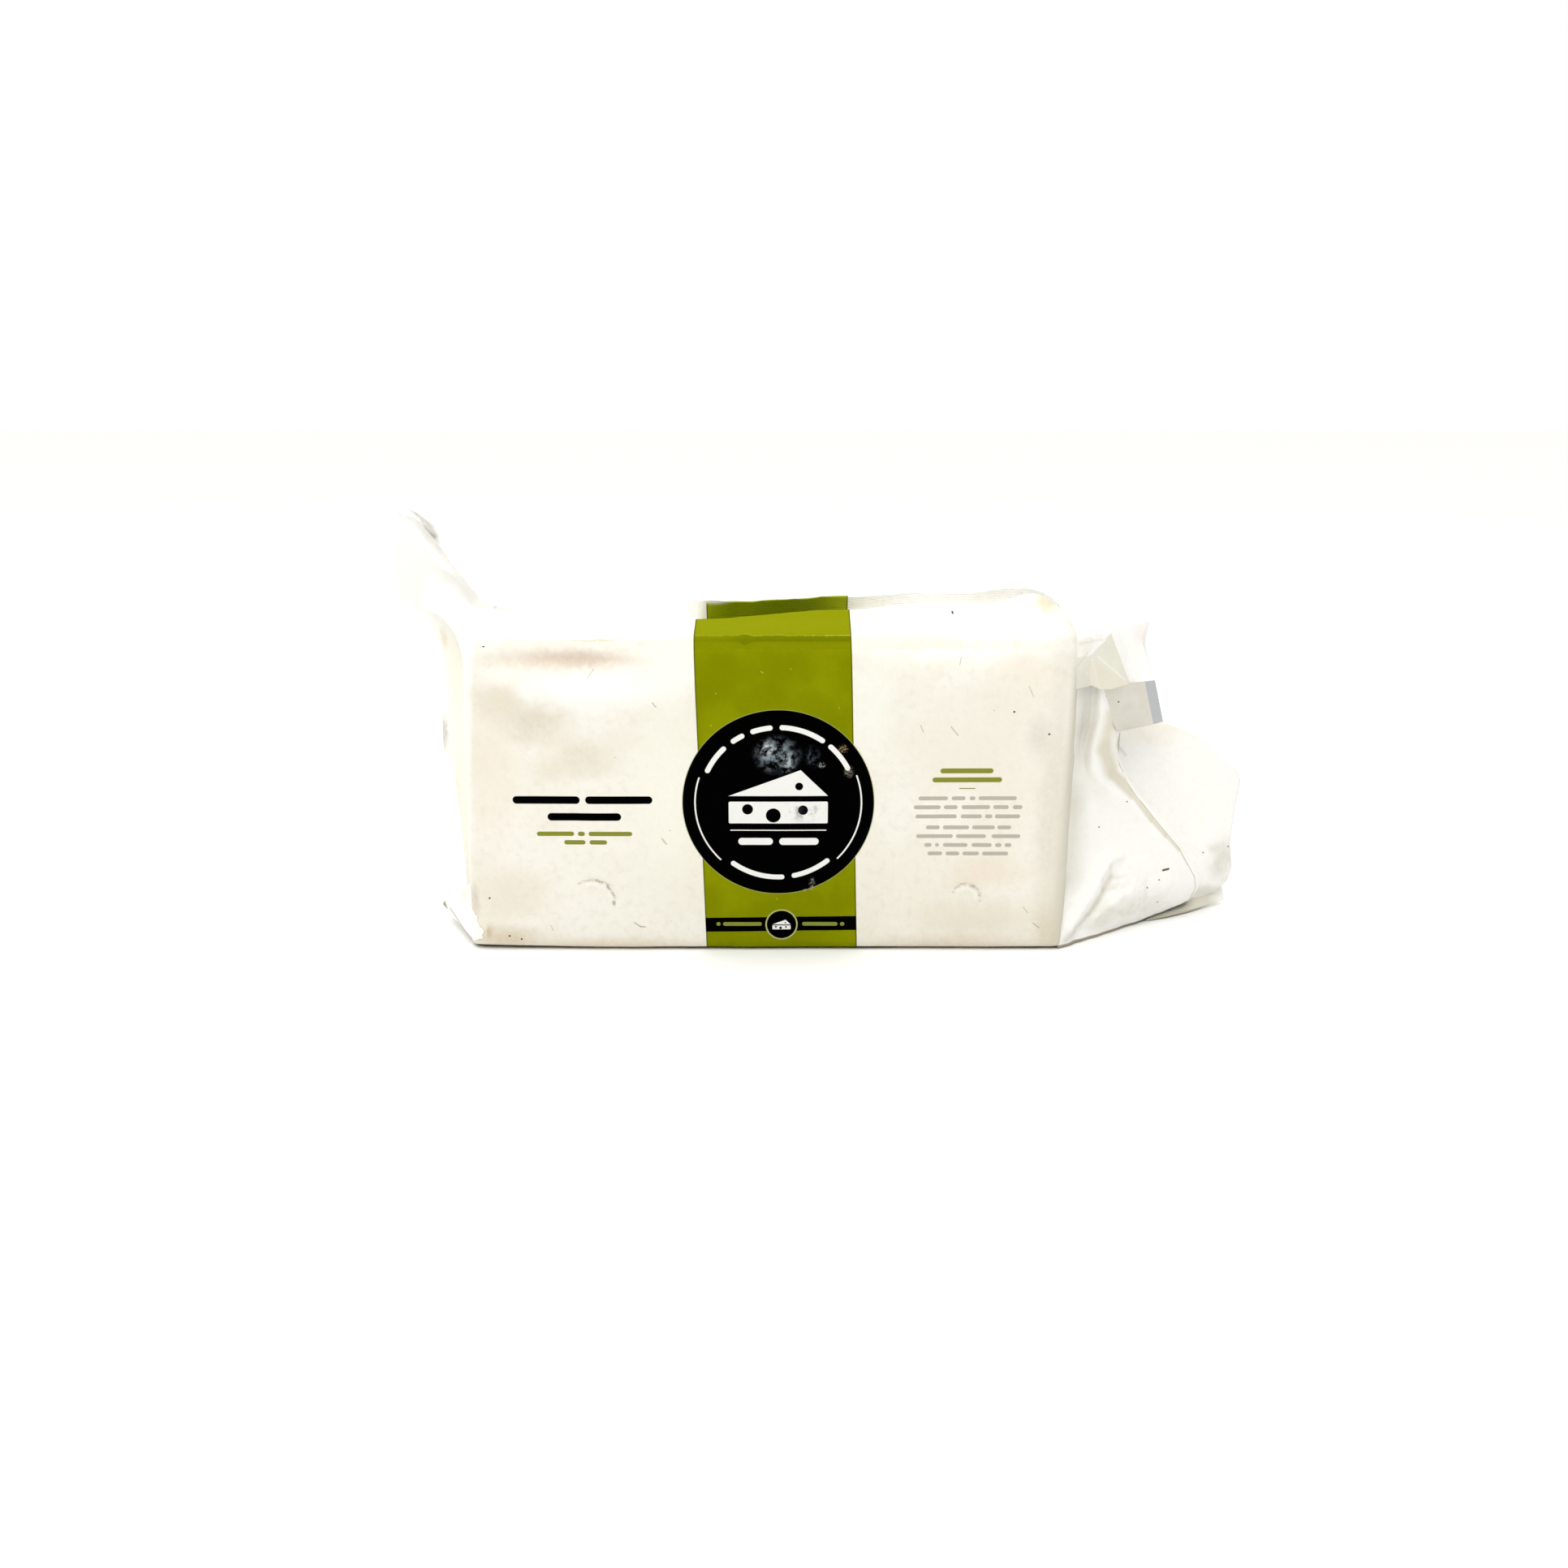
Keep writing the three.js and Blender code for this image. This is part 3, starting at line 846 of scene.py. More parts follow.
# Soft ovals of colour, used both for stains and for painted shade and highlight.
def stains_and_painted_light(pen, place, colour, stains):
    """Soft ovals of colour: torn at the edge where they are wide, and only frayed where they are small."""
    torn = ragged(pen, place, 7, 9)
    frayed = ragged(pen, place, 2.5, 2.5)
    grainy = pen.math("MULTIPLY_ADD", pen.noise(place, 0.55, 5, 0.8), 1.6, 0.2)
    for centre, reach, stain, amount in stains:
        edge = torn if min(reach) > SMALL_STAIN else frayed
        even = pen.product(pen.patch(edge, centre, reach), amount)
        colour = pen.over(colour, stain, pen.math("MULTIPLY", even, grainy, clamp=True))
    return colour


def stroked(pen, place, colour, strokes):
    """Soft lines of colour: start, end, half width, softness, tone and amount each."""
    for start, end, half, softness, tone, amount in strokes:
        line = pen.product(pen.stroke(place, start, end, half, softness), amount)
        colour = pen.over(colour, tone, line)
    return colour


def flecks(pen, place, spots, radius=FLECK_RADIUS):
    return pen.either(*[pen.disc(place, (x, 0, z), radius) for x, z in spots])


print("a stain counts as small up to", SMALL_STAIN, "mm")

# %% Lap and thumb marks
# The tan of the scratches, and of the painted shade in the thumb marks' dents.
SCRATCH_AND_DENT_SHADE_TAN = ink(150, 132, 96)
LAP_SHADOW_TAN = ink(214, 202, 178)
# Loose film from the left end laps over the panel's lower corner with a ragged edge.
LAP_CORNERS = [(-119.0, 19.5), (-115.6, 16.0), (-110.8, 6.0)]
LAP_CORNERS_LOW = [(-119.0, 19.5), (-110.8, 6.0), (-116.0, 2.4)]


def lapped(pen, place, colour):
    """The white ragged lap at the lower left corner, with a painted shadow as a tan line along its edge."""
    torn = ragged(pen, place, 3.0, 5.0)
    lap = pen.either(triangle(pen, torn, LAP_CORNERS), triangle(pen, torn, LAP_CORNERS_LOW))
    moved = pen.vector("SUBTRACT", torn, (0.5, 0, -0.2))
    shadow = pen.either(triangle(pen, moved, LAP_CORNERS), triangle(pen, moved, LAP_CORNERS_LOW))
    colour = pen.over(colour, LAP_SHADOW_TAN, pen.product(shadow, 0.6))
    return pen.over(colour, FILM_WHITE, lap)


def unrolled(pen, place, centre, radius):
    """The place round a centre, with x as the length along an arc of a radius and z as the distance."""
    away = pen.vector("SUBTRACT", place, (centre[0], 0, centre[1]))
    dx, _, dz = pen.split(away)
    return pen.join(pen.product(pen.math("ARCTAN2", dz, dx), radius), 0, pen.vector("LENGTH", away))


def thumbed(pen, place, colour):
    """Thumb marks: painted shade as a broken tan arc along each dent, and a painted highlight as a paler
    arc on the rim inside it.
    """
    broken = pen.ramp(pen.noise(place, 0.7, 3, 0.7), 0.38, 0.62)
    pressed = ragged(pen, place, 2.2, 1.5)
    for centre, radius, first, last in THUMB_MARKS:
        arc = unrolled(pen, pressed, centre, radius)
        scale = math.radians(1) * radius
        middle = (first + last) / 2 * scale
        reach = (last - first) / 2 * scale
        # Painted shade along the dent, and a painted highlight along the rim inside it.
        line = pen.dash(arc, (middle, 0, radius), (reach, 0, 0), 0.4, 0.7)
        rim_highlight = pen.dash(arc, (middle, 0, radius - 1.1), (reach * 0.8, 0, 0), 0.5, 1.0)
        colour = pen.over(colour, SCRATCH_AND_DENT_SHADE_TAN, pen.product(line, broken, 0.75))
        colour = pen.over(colour, FILM_WHITE, pen.product(rim_highlight, 0.5))
    return colour


print("thumb marks:", len(THUMB_MARKS), "and a lap", LAP_CORNERS[0][1], "mm high")

# %% Panel ground
panel_film, pen, place, colour, dots = film_base("printed panel film", True, 0.5)
flat_place = pen.flat(place)
colour = stains_and_painted_light(pen, flat_place, colour, PANEL_STAINS_AND_PAINTED_LIGHT)
for start, end, half, amount in PANEL_SCRATCHES:
    colour = pen.over(colour, SCRATCH_AND_DENT_SHADE_TAN, pen.product(pen.stroke(flat_place, start, end, half), amount))
colour = thumbed(pen, flat_place, colour)
colour = pen.over(colour, SPECK, flecks(pen, flat_place, PANEL_FLECKS))
colour = lapped(pen, flat_place, colour)
print("the bare panel has", len(pen.tree.nodes), "nodes")

# %% Shapes of the print
BAR_LIFT = 0.2
LABEL_RIM = 0.22

x, _, z = pen.split(place)
lean = band_middle(pen, z)
band = band_mask(pen, x, lean, BAND_HALF)
label = pen.disc(flat_place, (LABEL_X, 0, LABEL_Z), LABEL_RADIUS)
label_rim = pen.disc(flat_place, (LABEL_X, 0, LABEL_Z), LABEL_RADIUS + LABEL_RIM)
level = pen.math("MULTIPLY_ADD", x, BAR_TILT, BAR_MIDDLE_Z + BAR_LIFT)
bar = pen.product(pen.inside(pen.math("SUBTRACT", pen.gap(z, level), BAR_HALF)), band)
rim = pen.disc(flat_place, (BADGE_X, 0, BADGE_Z), BADGE_RIM)
badge = pen.disc(flat_place, (BADGE_X, 0, BADGE_Z), BADGE_RADIUS)


def arc_dashes(radius, half, arcs):
    """Arcs on the label: they are straight dashes once the label is unrolled."""
    scale = math.radians(1) * radius
    spans = [(start * scale, end * scale) for start, end in arcs]
    return dashes(pen, unrolled(pen, flat_place, (LABEL_X, LABEL_Z), radius), [(radius, half, spans)])


ring = arc_dashes(RING_RADIUS, RING_HALF_WIDTH, RING_ARCS)
curved_dashes = arc_dashes(ARC_DASH_RADIUS, ARC_DASH_HALF, ARC_DASHES)
mark = cheese_mark(pen, flat_place, (LABEL_X, MARK_Z), MARK_SIZE)
label_lines = dashes(pen, flat_place, LABEL_ROWS)
badge_mark = cheese_mark(pen, flat_place, (BADGE_X, BADGE_MARK_Z), BADGE_MARK_SIZE)
bar_dashes = dashes(pen, flat_place, [(BAR_MIDDLE_Z, BAR_DASH_HALF, BAR_DASHES)])
white_print = pen.either(ring, curved_dashes, mark, label_lines, badge_mark)
print("with its shapes the panel has", len(pen.tree.nodes), "nodes")

# %% Scuffs, painted reflections and nicks
# Each scuff is its middle, its reach, its colour, how much of it is laid on and its noise size. The light
# bluish streaks near the top of the label are scuffs with a painted reflection of the glossy ink in them.
LABEL_SCUFFS_AND_REFLECTIONS = [
    ((-17.2, 65.0), (8.5, 7.0), ink(150, 166, 176), 0.85, 2.6),
    ((-20.0, 66.8), (4.5, 4.0), ink(214, 222, 226), 0.9, 1.8),
    ((-14.0, 63.2), (3.5, 4.5), ink(196, 208, 214), 0.8, 1.6),
    ((-6.3, 64.5), (3.0, 4.5), ink(78, 88, 98), 0.7, 1.6),
    ((-3.4, 61.8), (1.5, 1.2), ink(214, 214, 210), 0.9, 0.7),
    ((3.2, 67.0), (2.0, 1.8), ink(176, 150, 112), 0.95, 0.7),
    ((5.0, 59.6), (2.0, 2.4), ink(190, 184, 170), 0.9, 0.6),
    ((-6.2, 22.6), (1.3, 3.0), ink(182, 182, 176), 0.8, 0.7),
    ((-8.4, 20.6), (0.9, 0.6), ink(170, 170, 164), 0.7, 0.5),
    ((-9.0, 47.0), (8.0, 5.0), ink(46, 46, 52), 0.6, 3.0),
]
BAND_NICKS = [(-22.1, 91.2), (-21.6, 90.9), (-36.0, 84.6), (-37.6, 74.4), (-17.4, 17.6), (1.8, 80.0)]
BAND_NICKS += [(-13.0, 92.0)]
NICK_RADIUS = 0.2


def scuffs_and_reflections(pen, place, colour):
    """Rubs and painted reflections on the black label, broken up by streaky noise."""
    for centre, reach, scuff_tone, amount, size in LABEL_SCUFFS_AND_REFLECTIONS:
        streaks = pen.ramp(pen.noise(ragged(pen, place, size * 1.6, size), 1 / size, 4, 0.65), 0.44, 0.66)
        colour = pen.over(colour, scuff_tone, pen.product(pen.patch(place, centre, reach), streaks, amount))
    return colour


print("scuffs on the label:", len(LABEL_SCUFFS_AND_REFLECTIONS), "nicks in the band:", len(BAND_NICKS))

# %% Inks of the panel
worn_ink = pen.ramp(pen.noise(place, 0.05, 3, 0.6), 0.35, 0.75)
olive = pen.over(OLIVE, WORN_OLIVE, worn_ink)
olive = pen.over(olive, NICKED_OLIVE, flecks(pen, flat_place, BAND_NICKS, NICK_RADIUS))
colour = pen.over(colour, olive, band)
colour = band_border(pen, x, colour, lean, BAND_HALF)
colour = pen.over(colour, LABEL_RIM_INK, pen.product(label_rim, 0.6))
colour = pen.over(colour, BLACK, pen.either(label, bar))
colour = pen.over(colour, BADGE_RIM_INK, rim)
colour = pen.over(colour, BLACK, badge)
colour = pen.over(colour, PRINT_WHITE, white_print)
colour = pen.over(colour, BAR_DASH_INK, bar_dashes)
colour = scuffs_and_reflections(pen, flat_place, colour)
colour = pen.over(colour, BLACK, dashes(pen, flat_place, DARK_ROWS))
colour = pen.over(colour, SMALL_OLIVE, dashes(pen, flat_place, OLIVE_ROWS))
colour = pen.over(colour, PALE_GREY, dashes(pen, flat_place, PALE_ROWS))
close_material(pen, colour, dots)
print("panel material has", len(pen.tree.nodes), "nodes")

# %% [markdown]
# ## The wrap behind the panel
# The web was printed before it was folded, so the band runs on over the roof and down the back, with the
# same kind of stains and flecks as the front but no label. Some ovals of the roof are painted shade. On
# the roof the band is painted a lighter olive, as painted light from above. Along the roof's front fold
# the ink is rubbed thin and carries a painted highlight, and a darker strip of painted shade lies under
# it. A ruled line would look new, so a little noise moves the fold line up and down. Ramps on the depth
# keep the marks of the front off the back.

# %% Marks of the roof and the back
# Some of these are painted shade: the grey down the left end, the tan along the fin at the left, and the
# tan under the fold on the roof's right part.
ROOF_STAINS_AND_SHADE = [
    ((-84, 98.2), (26, 2.2), ink(244, 234, 216), 0.6),
    ((-73, 100.2), (14, 0.5), ink(226, 210, 176), 0.8),
    ((-129.4, 62), (2.6, 9.5), ink(214, 211, 203), 1.0),
    ((-127.2, 94), (2.0, 6), ink(238, 228, 208), 0.8),
    ((-126, 40), (1.6, 14), ink(240, 232, 216), 0.5),
    ((42, 112.6), (16, 2.6), ink(226, 200, 160), 0.85),
    ((68, 108.5), (6, 3.0), ink(232, 208, 172), 0.7),
    ((-90, 107.0), (22, 2.4), ink(244, 236, 222), 0.6),
]
ROOF_FLECKS = [(-106.8, 98.4), (-59.3, 107.7), (29.6, 112.0), (46.4, 109.8), (37.6, 106.6), (48.3, 110.0)]
BACK_STAINS = [
    ((-80, 86), (30, 9), ink(252, 250, 242), 0.9),
    ((-60, 60), (26, 18), ink(228, 221, 204), 0.7),
    ((-96, 30), (18, 14), ink(234, 224, 206), 0.7),
    ((-70, 4), (44, 7), ink(224, 212, 190), 0.7),
    ((46, 5), (40, 8), ink(224, 212, 190), 0.7),
    ((38, 74), (26, 16), ink(236, 229, 214), 0.8),
    ((60, 40), (14, 26), ink(230, 222, 206), 0.6),
    ((24, 34), (14, 10), ink(240, 226, 208), 0.6),
    ((-30, 95), (70, 3.5), ink(232, 218, 198), 0.6),
]
BACK_FLECKS = [(-92, 71), (-48.5, 22), (-103, 44), (33, 82), (57, 12), (64, 61), (20, 55), (-61, 92)]
print("stains on the roof:", len(ROOF_STAINS_AND_SHADE), "and on the back:", len(BACK_STAINS))

# %% Wrap film
# A lighter olive for the band on the roof: painted light from above.
ROOF_LIT_OLIVE = ink(133, 139, 1)

wrap_film, pen, place, colour, dots = film_base("wrap film", True, 0.5)
flat_place = pen.flat(place)
x, y, z = pen.split(place)
in_front = pen.ramp(y, 6, 1)
colour = pen.over(colour, stains_and_painted_light(pen, flat_place, colour, BACK_STAINS), pen.ramp(y, 24, 34))
back_flecks = pen.product(flecks(pen, flat_place, BACK_FLECKS), pen.ramp(y, 30, 34))
colour = pen.over(colour, SPECK, back_flecks)
colour = pen.over(colour, stains_and_painted_light(pen, flat_place, colour, ROOF_STAINS_AND_SHADE), in_front)
colour = pen.over(colour, SPECK, pen.product(flecks(pen, flat_place, ROOF_FLECKS), in_front))
lean = band_middle(pen, z)
on_band = band_mask(pen, x, lean, BAND_HALF)
# On the roof the band is painted a lighter olive, as painted light from above.
colour = pen.over(colour, pen.over(OLIVE, ROOF_LIT_OLIVE, pen.ramp(z, 99.5, 101.5)), on_band)
print("before its fold the wrap has", len(pen.tree.nodes), "nodes")

# %% Rubbed fold of the wrap
# The ink is rubbed thin along the roof's fold and carries a painted highlight there, and a darker strip of
# painted shade lies under it. Both widen at a kink.
FOLD_KINK_X, FOLD_KINK_REACH = -27.0, 2.6
FOLD_HEIGHT, UNDER_FOLD_FOOT = 101.3, 99.9
FOLD_LINE_HALF = 0.07
UNDER_FOLD_SHADE_OLIVE = ink(104, 110, 0)
RUBBED_AND_HIGHLIT_OLIVE = ink(200, 207, 96)

front_band = pen.product(on_band, pen.ramp(y, -23, -28))
kink = pen.ramp(pen.gap(x, FOLD_KINK_X), FOLD_KINK_REACH, 0)
wander = pen.math("MULTIPLY_ADD", pen.noise(place, 0.22, 3, 0.7), 0.7, FOLD_HEIGHT)
fold = pen.math("MULTIPLY_ADD", kink, 0.35, wander)
shade_foot = pen.math("MULTIPLY_ADD", kink, -0.9, UNDER_FOLD_FOOT)
above_shade_foot = pen.ramp(pen.math("SUBTRACT", z, shade_foot), -0.2, 0.3)
under_fold_shade = pen.product(above_shade_foot, pen.ramp(pen.math("SUBTRACT", fold, z), 0.0, 0.25))
under_fold_shade = pen.product(under_fold_shade, pen.math("MULTIPLY_ADD", pen.ramp(x, -36, -27), 0.5, 0.5))
# Painted shade under the fold.
colour = pen.over(colour, UNDER_FOLD_SHADE_OLIVE, pen.product(under_fold_shade, front_band, 0.75))
on_fold = pen.inside(pen.math("SUBTRACT", pen.gap(z, fold), FOLD_LINE_HALF), 0.16)
brighter = pen.math("MULTIPLY_ADD", pen.ramp(x, -30, 0), 0.35, 0.35)
patchy = pen.product(pen.ramp(pen.noise(place, 0.3, 3, 0.7), 0.3, 0.7), brighter)
# Rubbed ink and a painted highlight along the fold.
colour = pen.over(colour, RUBBED_AND_HIGHLIT_OLIVE, pen.product(on_fold, patchy, front_band))
colour = band_border(pen, x, colour, lean, BAND_HALF)
close_material(pen, colour, dots)
print("wrap film has", len(pen.tree.nodes), "nodes")

# %% [markdown]
# ## Ink and ribs of the fin
# The fin is two layers of the web pressed together, so its ink is denser than the band's. It is painted
# paler at both ends of the band, as painted light where it leans back into the light, and its upper left
# corner is worn down to the white film. The ribs of the jaws are real relief too, but they are finer than
# a pixel, so a sine wave also draws their shadow lines.

# %% Fin film
FIN_WHITE = ink(254, 254, 250)
FIN_OLIVE = ink(143, 156, 2)
FIN_END_LIT_OLIVE = ink(176, 190, 12)
RIB_SHADE = ink(120, 124, 92)
RIB_SLOPE = -0.032
WORN_CORNER = (-37.6, 107.9), (7.5, 2.6)

fin_film, pen, place, colour, dots = film_base("fin film", False, 0.3)
x, _, z = pen.split(place)
# Painted light: the ink is paler where the fin leans back at both ends.
lit_ends = pen.product(pen.math("MAXIMUM", pen.ramp(x, -8, 4), pen.ramp(x, -30, -40)), 0.45)
fin_olive = pen.over(FIN_OLIVE, FIN_END_LIT_OLIVE, lit_ends)
colour = pen.over(colour, FIN_WHITE, 0.6)
colour = pen.over(colour, fin_olive, band_mask(pen, x, FIN_BAND_X, FIN_BAND_HALF))
colour = band_border(pen, x, colour, FIN_BAND_X, FIN_BAND_HALF)
worn_corner = pen.patch(pen.flat(place), *WORN_CORNER)
colour = pen.over(colour, FILM_WHITE, pen.math("MULTIPLY", worn_corner, 1.6, clamp=True))

# Each rib of the sealing jaws holds a thin shadow line.
level = pen.math("MULTIPLY_ADD", x, RIB_SLOPE, z)
ribs = pen.math("SINE", pen.product(level, 2 * math.pi / RIB_PITCH))
rib_share = pen.product(pen.ramp(ribs, 0.0, 0.9), pen.ramp(x, -38, -8))
colour = pen.over(colour, RIB_SHADE, pen.product(rib_share, 0.2))
close_material(pen, colour, dots)
print("fin film has", len(pen.tree.nodes), "nodes")

# %% [markdown]
# ## Film that stands off at the ends
# The loose film at the ends is whiter than the film on the cheese. Its folds hold dirt and shade, its edge
# is turned back, and each facet of the crushed corner is shaded differently. Most of that comes from the
# shape of the sheets. The rest is painted: painted shade as soft strokes in the valleys and wrinkles and
# as a tan ribbon on the turned edge, painted shade on the facets as triangles, one painted highlight
# along a crease, and stains and flecks of dirt.

# %% Marks of the loose ends
# Flecks and stains of the loose right end, in x and z.
END_FLECKS = [(110.3, 15.2), (105.9, 13.4), (110.3, 7.4), (98.0, 42.4), (88.8, 34.3)]
END_FLECKS += [(128.5, 20.0), (137.5, 21.5)]
END_FLECK_RADIUS = 0.27
# Some of these are painted shade: the grey on the tail's curl and near its foot, the tan under the hanging
# strip and the dark tip of the foot ear.
END_STAINS_AND_SHADE = [
    ((104, 8), (16, 8), ink(228, 225, 215), 0.5),
    ((90, 8), (9, 7), ink(230, 227, 217), 0.7),
    ((135.5, 18), (8, 11), ink(224, 222, 212), 0.9),
    ((131, 6), (9, 3.5), ink(218, 215, 205), 0.7),
    ((112, 62), (20, 8), ink(250, 242, 228), 0.6),
    ((101, 96), (6, 5), ink(250, 242, 240), 0.7),
    ((78, 97), (5, 4), ink(244, 238, 222), 0.6),
    ((-130.8, 5.6), (3.6, 2.2), ink(140, 132, 116), 1.2),
    ((-115, 17), (6, 8), ink(251, 248, 235), 1.2),
    ((-121, 12), (3, 4), ink(236, 231, 216), 0.8),
]
print("flecks and stains of the loose ends:", len(END_FLECKS) + len(END_STAINS_AND_SHADE))

# %% Fold lines of the loose ends
# Soft strokes of painted shade in the valleys and wrinkles, with one painted highlight along a crease of
# the crushed corner: start, end, half width, softness, tone, amount.
VALLEY_SHADE_GREY = ink(206, 201, 188)
VALLEY_SHADE_PALE = ink(226, 221, 207)
VALLEY_SHADE_CREAM = ink(212, 206, 188)
FOOT_SHADE = ink(140, 126, 96)
END_FOLD_SHADE_AND_HIGHLIGHT = [
    ((78.0, 90), (79.5, 68), 3.4, 8.0, VALLEY_SHADE_PALE, 0.25),
    ((79.5, 68), (77.5, 44), 3.4, 8.0, VALLEY_SHADE_GREY, 0.32),
    ((78.5, 44), (76.5, 22), 4.6, 7.0, VALLEY_SHADE_CREAM, 0.45),
    ((74.9, 22), (73.0, 9), 1.2, 3.4, VALLEY_SHADE_CREAM, 0.6),
    ((76.0, 2.2), (83.9, 8.6), 0.6, 2.4, VALLEY_SHADE_CREAM, 0.65),
    ((83.9, 8.6), (90.1, 14.0), 0.6, 2.4, VALLEY_SHADE_CREAM, 0.6),
    ((90.1, 14.0), (92.8, 18.2), 0.5, 2.0, VALLEY_SHADE_CREAM, 0.6),
    ((92.8, 18.2), (92.3, 22.8), 0.4, 1.8, VALLEY_SHADE_CREAM, 0.45),
    ((94.0, 18.0), (98.0, 18.3), 0.2, 1.3, VALLEY_SHADE_PALE, 0.35),
    ((93.4, 15.0), (97.0, 13.6), 0.2, 1.3, VALLEY_SHADE_PALE, 0.35),
    ((94.0, 23.1), (97.4, 23.6), 0.2, 1.3, VALLEY_SHADE_PALE, 0.3),
    ((91.4, 9.5), (97.0, 5.7), 0.2, 1.6, VALLEY_SHADE_PALE, 0.5),
    ((97.5, 5.2), (101.0, 5.9), 0.2, 1.6, VALLEY_SHADE_PALE, 0.4),
    ((83.4, 93.0), (94.2, 84.0), 0.12, 0.5, FILM_WHITE, 0.8),
    ((94.5, 60.5), (100.6, 53.6), 0.25, 1.1, VALLEY_SHADE_GREY, 0.65),
    ((74.5, 91.0), (79.5, 95.0), 0.2, 0.6, VALLEY_SHADE_GREY, 0.5),
    ((76.5, 98.0), (85.5, 97.5), 0.2, 0.8, VALLEY_SHADE_GREY, 0.4),
    ((-126.4, 6.4), (-116.6, 2.6), 0.2, 0.8, FOOT_SHADE, 0.85),
]
# Each crushed facet's tone is painted shade: its corners, its tone and how much of it is laid on.
FACET_PAINTED_SHADES = [
    ([(81.0, 93.9), (89.4, 98.5), (96.1, 82.2)], ink(231, 229, 214), 0.95),
    ([(81.0, 93.9), (96.1, 82.2), (85.8, 81.4)], ink(233, 228, 211), 0.95),
    ([(72.5, 94.6), (81.0, 93.9), (85.8, 81.4)], ink(238, 234, 220), 0.9),
    ([(72.5, 94.6), (85.8, 81.4), (73.5, 83.0)], ink(234, 230, 216), 0.9),
]
# Painted shade on the turned-back edge of the gusset, as strokes of the same kind, and a thin line of
# painted shadow along it.
RIBBON_PAINTED_SHADE = ink(224, 218, 199)
RIBBON_SHADE = ink(170, 162, 132)
RIBBON = [
    ((90.9, 72.0), (89.3, 62.0), 2.6, 3.6, RIBBON_PAINTED_SHADE, 0.8),
    ((89.1, 61.0), (92.5, 53.0), 2.5, 2.8, RIBBON_PAINTED_SHADE, 0.9),
    ((93.2, 51.3), (100.4, 44.2), 1.6, 1.2, RIBBON_PAINTED_SHADE, 0.9),
    ((100.2, 44.3), (107.6, 35.0), 0.9, 0.8, RIBBON_PAINTED_SHADE, 0.95),
    ((107.6, 35.0), (112.8, 29.1), 0.65, 0.7, RIBBON_PAINTED_SHADE, 0.95),
    ((112.8, 29.1), (118.0, 23.5), 0.4, 0.6, RIBBON_PAINTED_SHADE, 0.9),
    ((118.0, 23.5), (121.5, 18.0), 0.15, 0.6, RIBBON_PAINTED_SHADE, 0.7),
]
RIBBON_EDGE = [(94.0, 60.5), (96.0, 53.5), (101.1, 44.4), (108.3, 35.4)]
RIBBON_EDGE += [(118.2, 23.9), (124.3, 13.5), (125.1, 9.0), (123.6, 4.4)]
for start, end in zip(RIBBON_EDGE, RIBBON_EDGE[1:]):
    RIBBON.append((start, end, 0.12, EDGE_SOFTNESS, RIBBON_SHADE, 0.7))
print("strokes on the loose ends:", len(END_FOLD_SHADE_AND_HIGHLIGHT) + len(RIBBON))

# %% Loose film
CRUMPLE_SHADE = ink(218, 215, 203)
CRUMPLED_PART = (98, 10), (26, 15)
FIBRE_BROWN = ink(110, 96, 52)
FIBRE = (111.9, 18.0), (113.9, 18.1), 0.36

loose_film, pen, place, colour, dots = film_base("loose film", False, 0.7)
flat_place = pen.flat(place)
colour = stains_and_painted_light(pen, flat_place, colour, END_STAINS_AND_SHADE)
# Painted shade on the facets of the crushed corner.
for corners, tint, amount in FACET_PAINTED_SHADES:
    colour = pen.over(colour, tint, pen.product(triangle(pen, flat_place, corners), amount))
# Painted shade on the turned-back edge.
colour = stroked(pen, flat_place, colour, RIBBON)


# Crumpled film is bright on one side of each ridge and darker on the other, and that darker side is
# painted shade. A ridge is where a slow noise passes one value, and the shaded side is found by comparing
# two places a little apart.
def ridge_distance(shift):
    moved = pen.vector("ADD", flat_place, shift)
    return pen.gap(pen.noise(moved, 0.075, 3, 0.5), 0.5)


slope = pen.math("SUBTRACT", ridge_distance((0, 0, 0)), ridge_distance((0.9, 0, -0.7)))
painted_shade_side = pen.product(pen.ramp(slope, 0.0, 0.06), pen.patch(flat_place, *CRUMPLED_PART))
colour = pen.over(colour, CRUMPLE_SHADE, pen.product(painted_shade_side, 0.32))
# Painted shade along the valleys and wrinkles, and a painted highlight along one crease.
colour = stroked(pen, flat_place, colour, END_FOLD_SHADE_AND_HIGHLIGHT)
colour = pen.over(colour, FIBRE_BROWN, pen.stroke(flat_place, *FIBRE))
colour = pen.over(colour, SPECK, pen.product(flecks(pen, flat_place, END_FLECKS, END_FLECK_RADIUS), 0.85))
close_material(pen, colour, dots)
print("loose film has", len(pen.tree.nodes), "nodes")

# %% [markdown]
# ## Smaller finishes of the same film
# The far side of a loose sheet has soft stains of its own and none of the marks of the near side, which
# would show there mirrored. The lip of the ear has painted shade inside, the flap is painted with the
# shade of the tail, and the strip at the end of the fin is painted grey as shade and carries the grey bar.
# Each is the same base with one or two things laid over it, so that all the film stays of one kind.

# %% Far side of loose film
FAR_STAINS = [
    ((112, 20), (18, 11), ink(232, 228, 217), 0.5),
    ((124, 46), (14, 11), ink(246, 238, 222), 0.5),
    ((100, 60), (12, 16), ink(238, 233, 221), 0.5),
    ((132, 12), (10, 8), ink(226, 221, 209), 0.5),
]
far_film, pen, place, colour, dots = film_base("far side of loose film", False, 0.7)
close_material(pen, stains_and_painted_light(pen, pen.flat(place), colour, FAR_STAINS), dots)
print("stains on the far side:", len(FAR_STAINS))

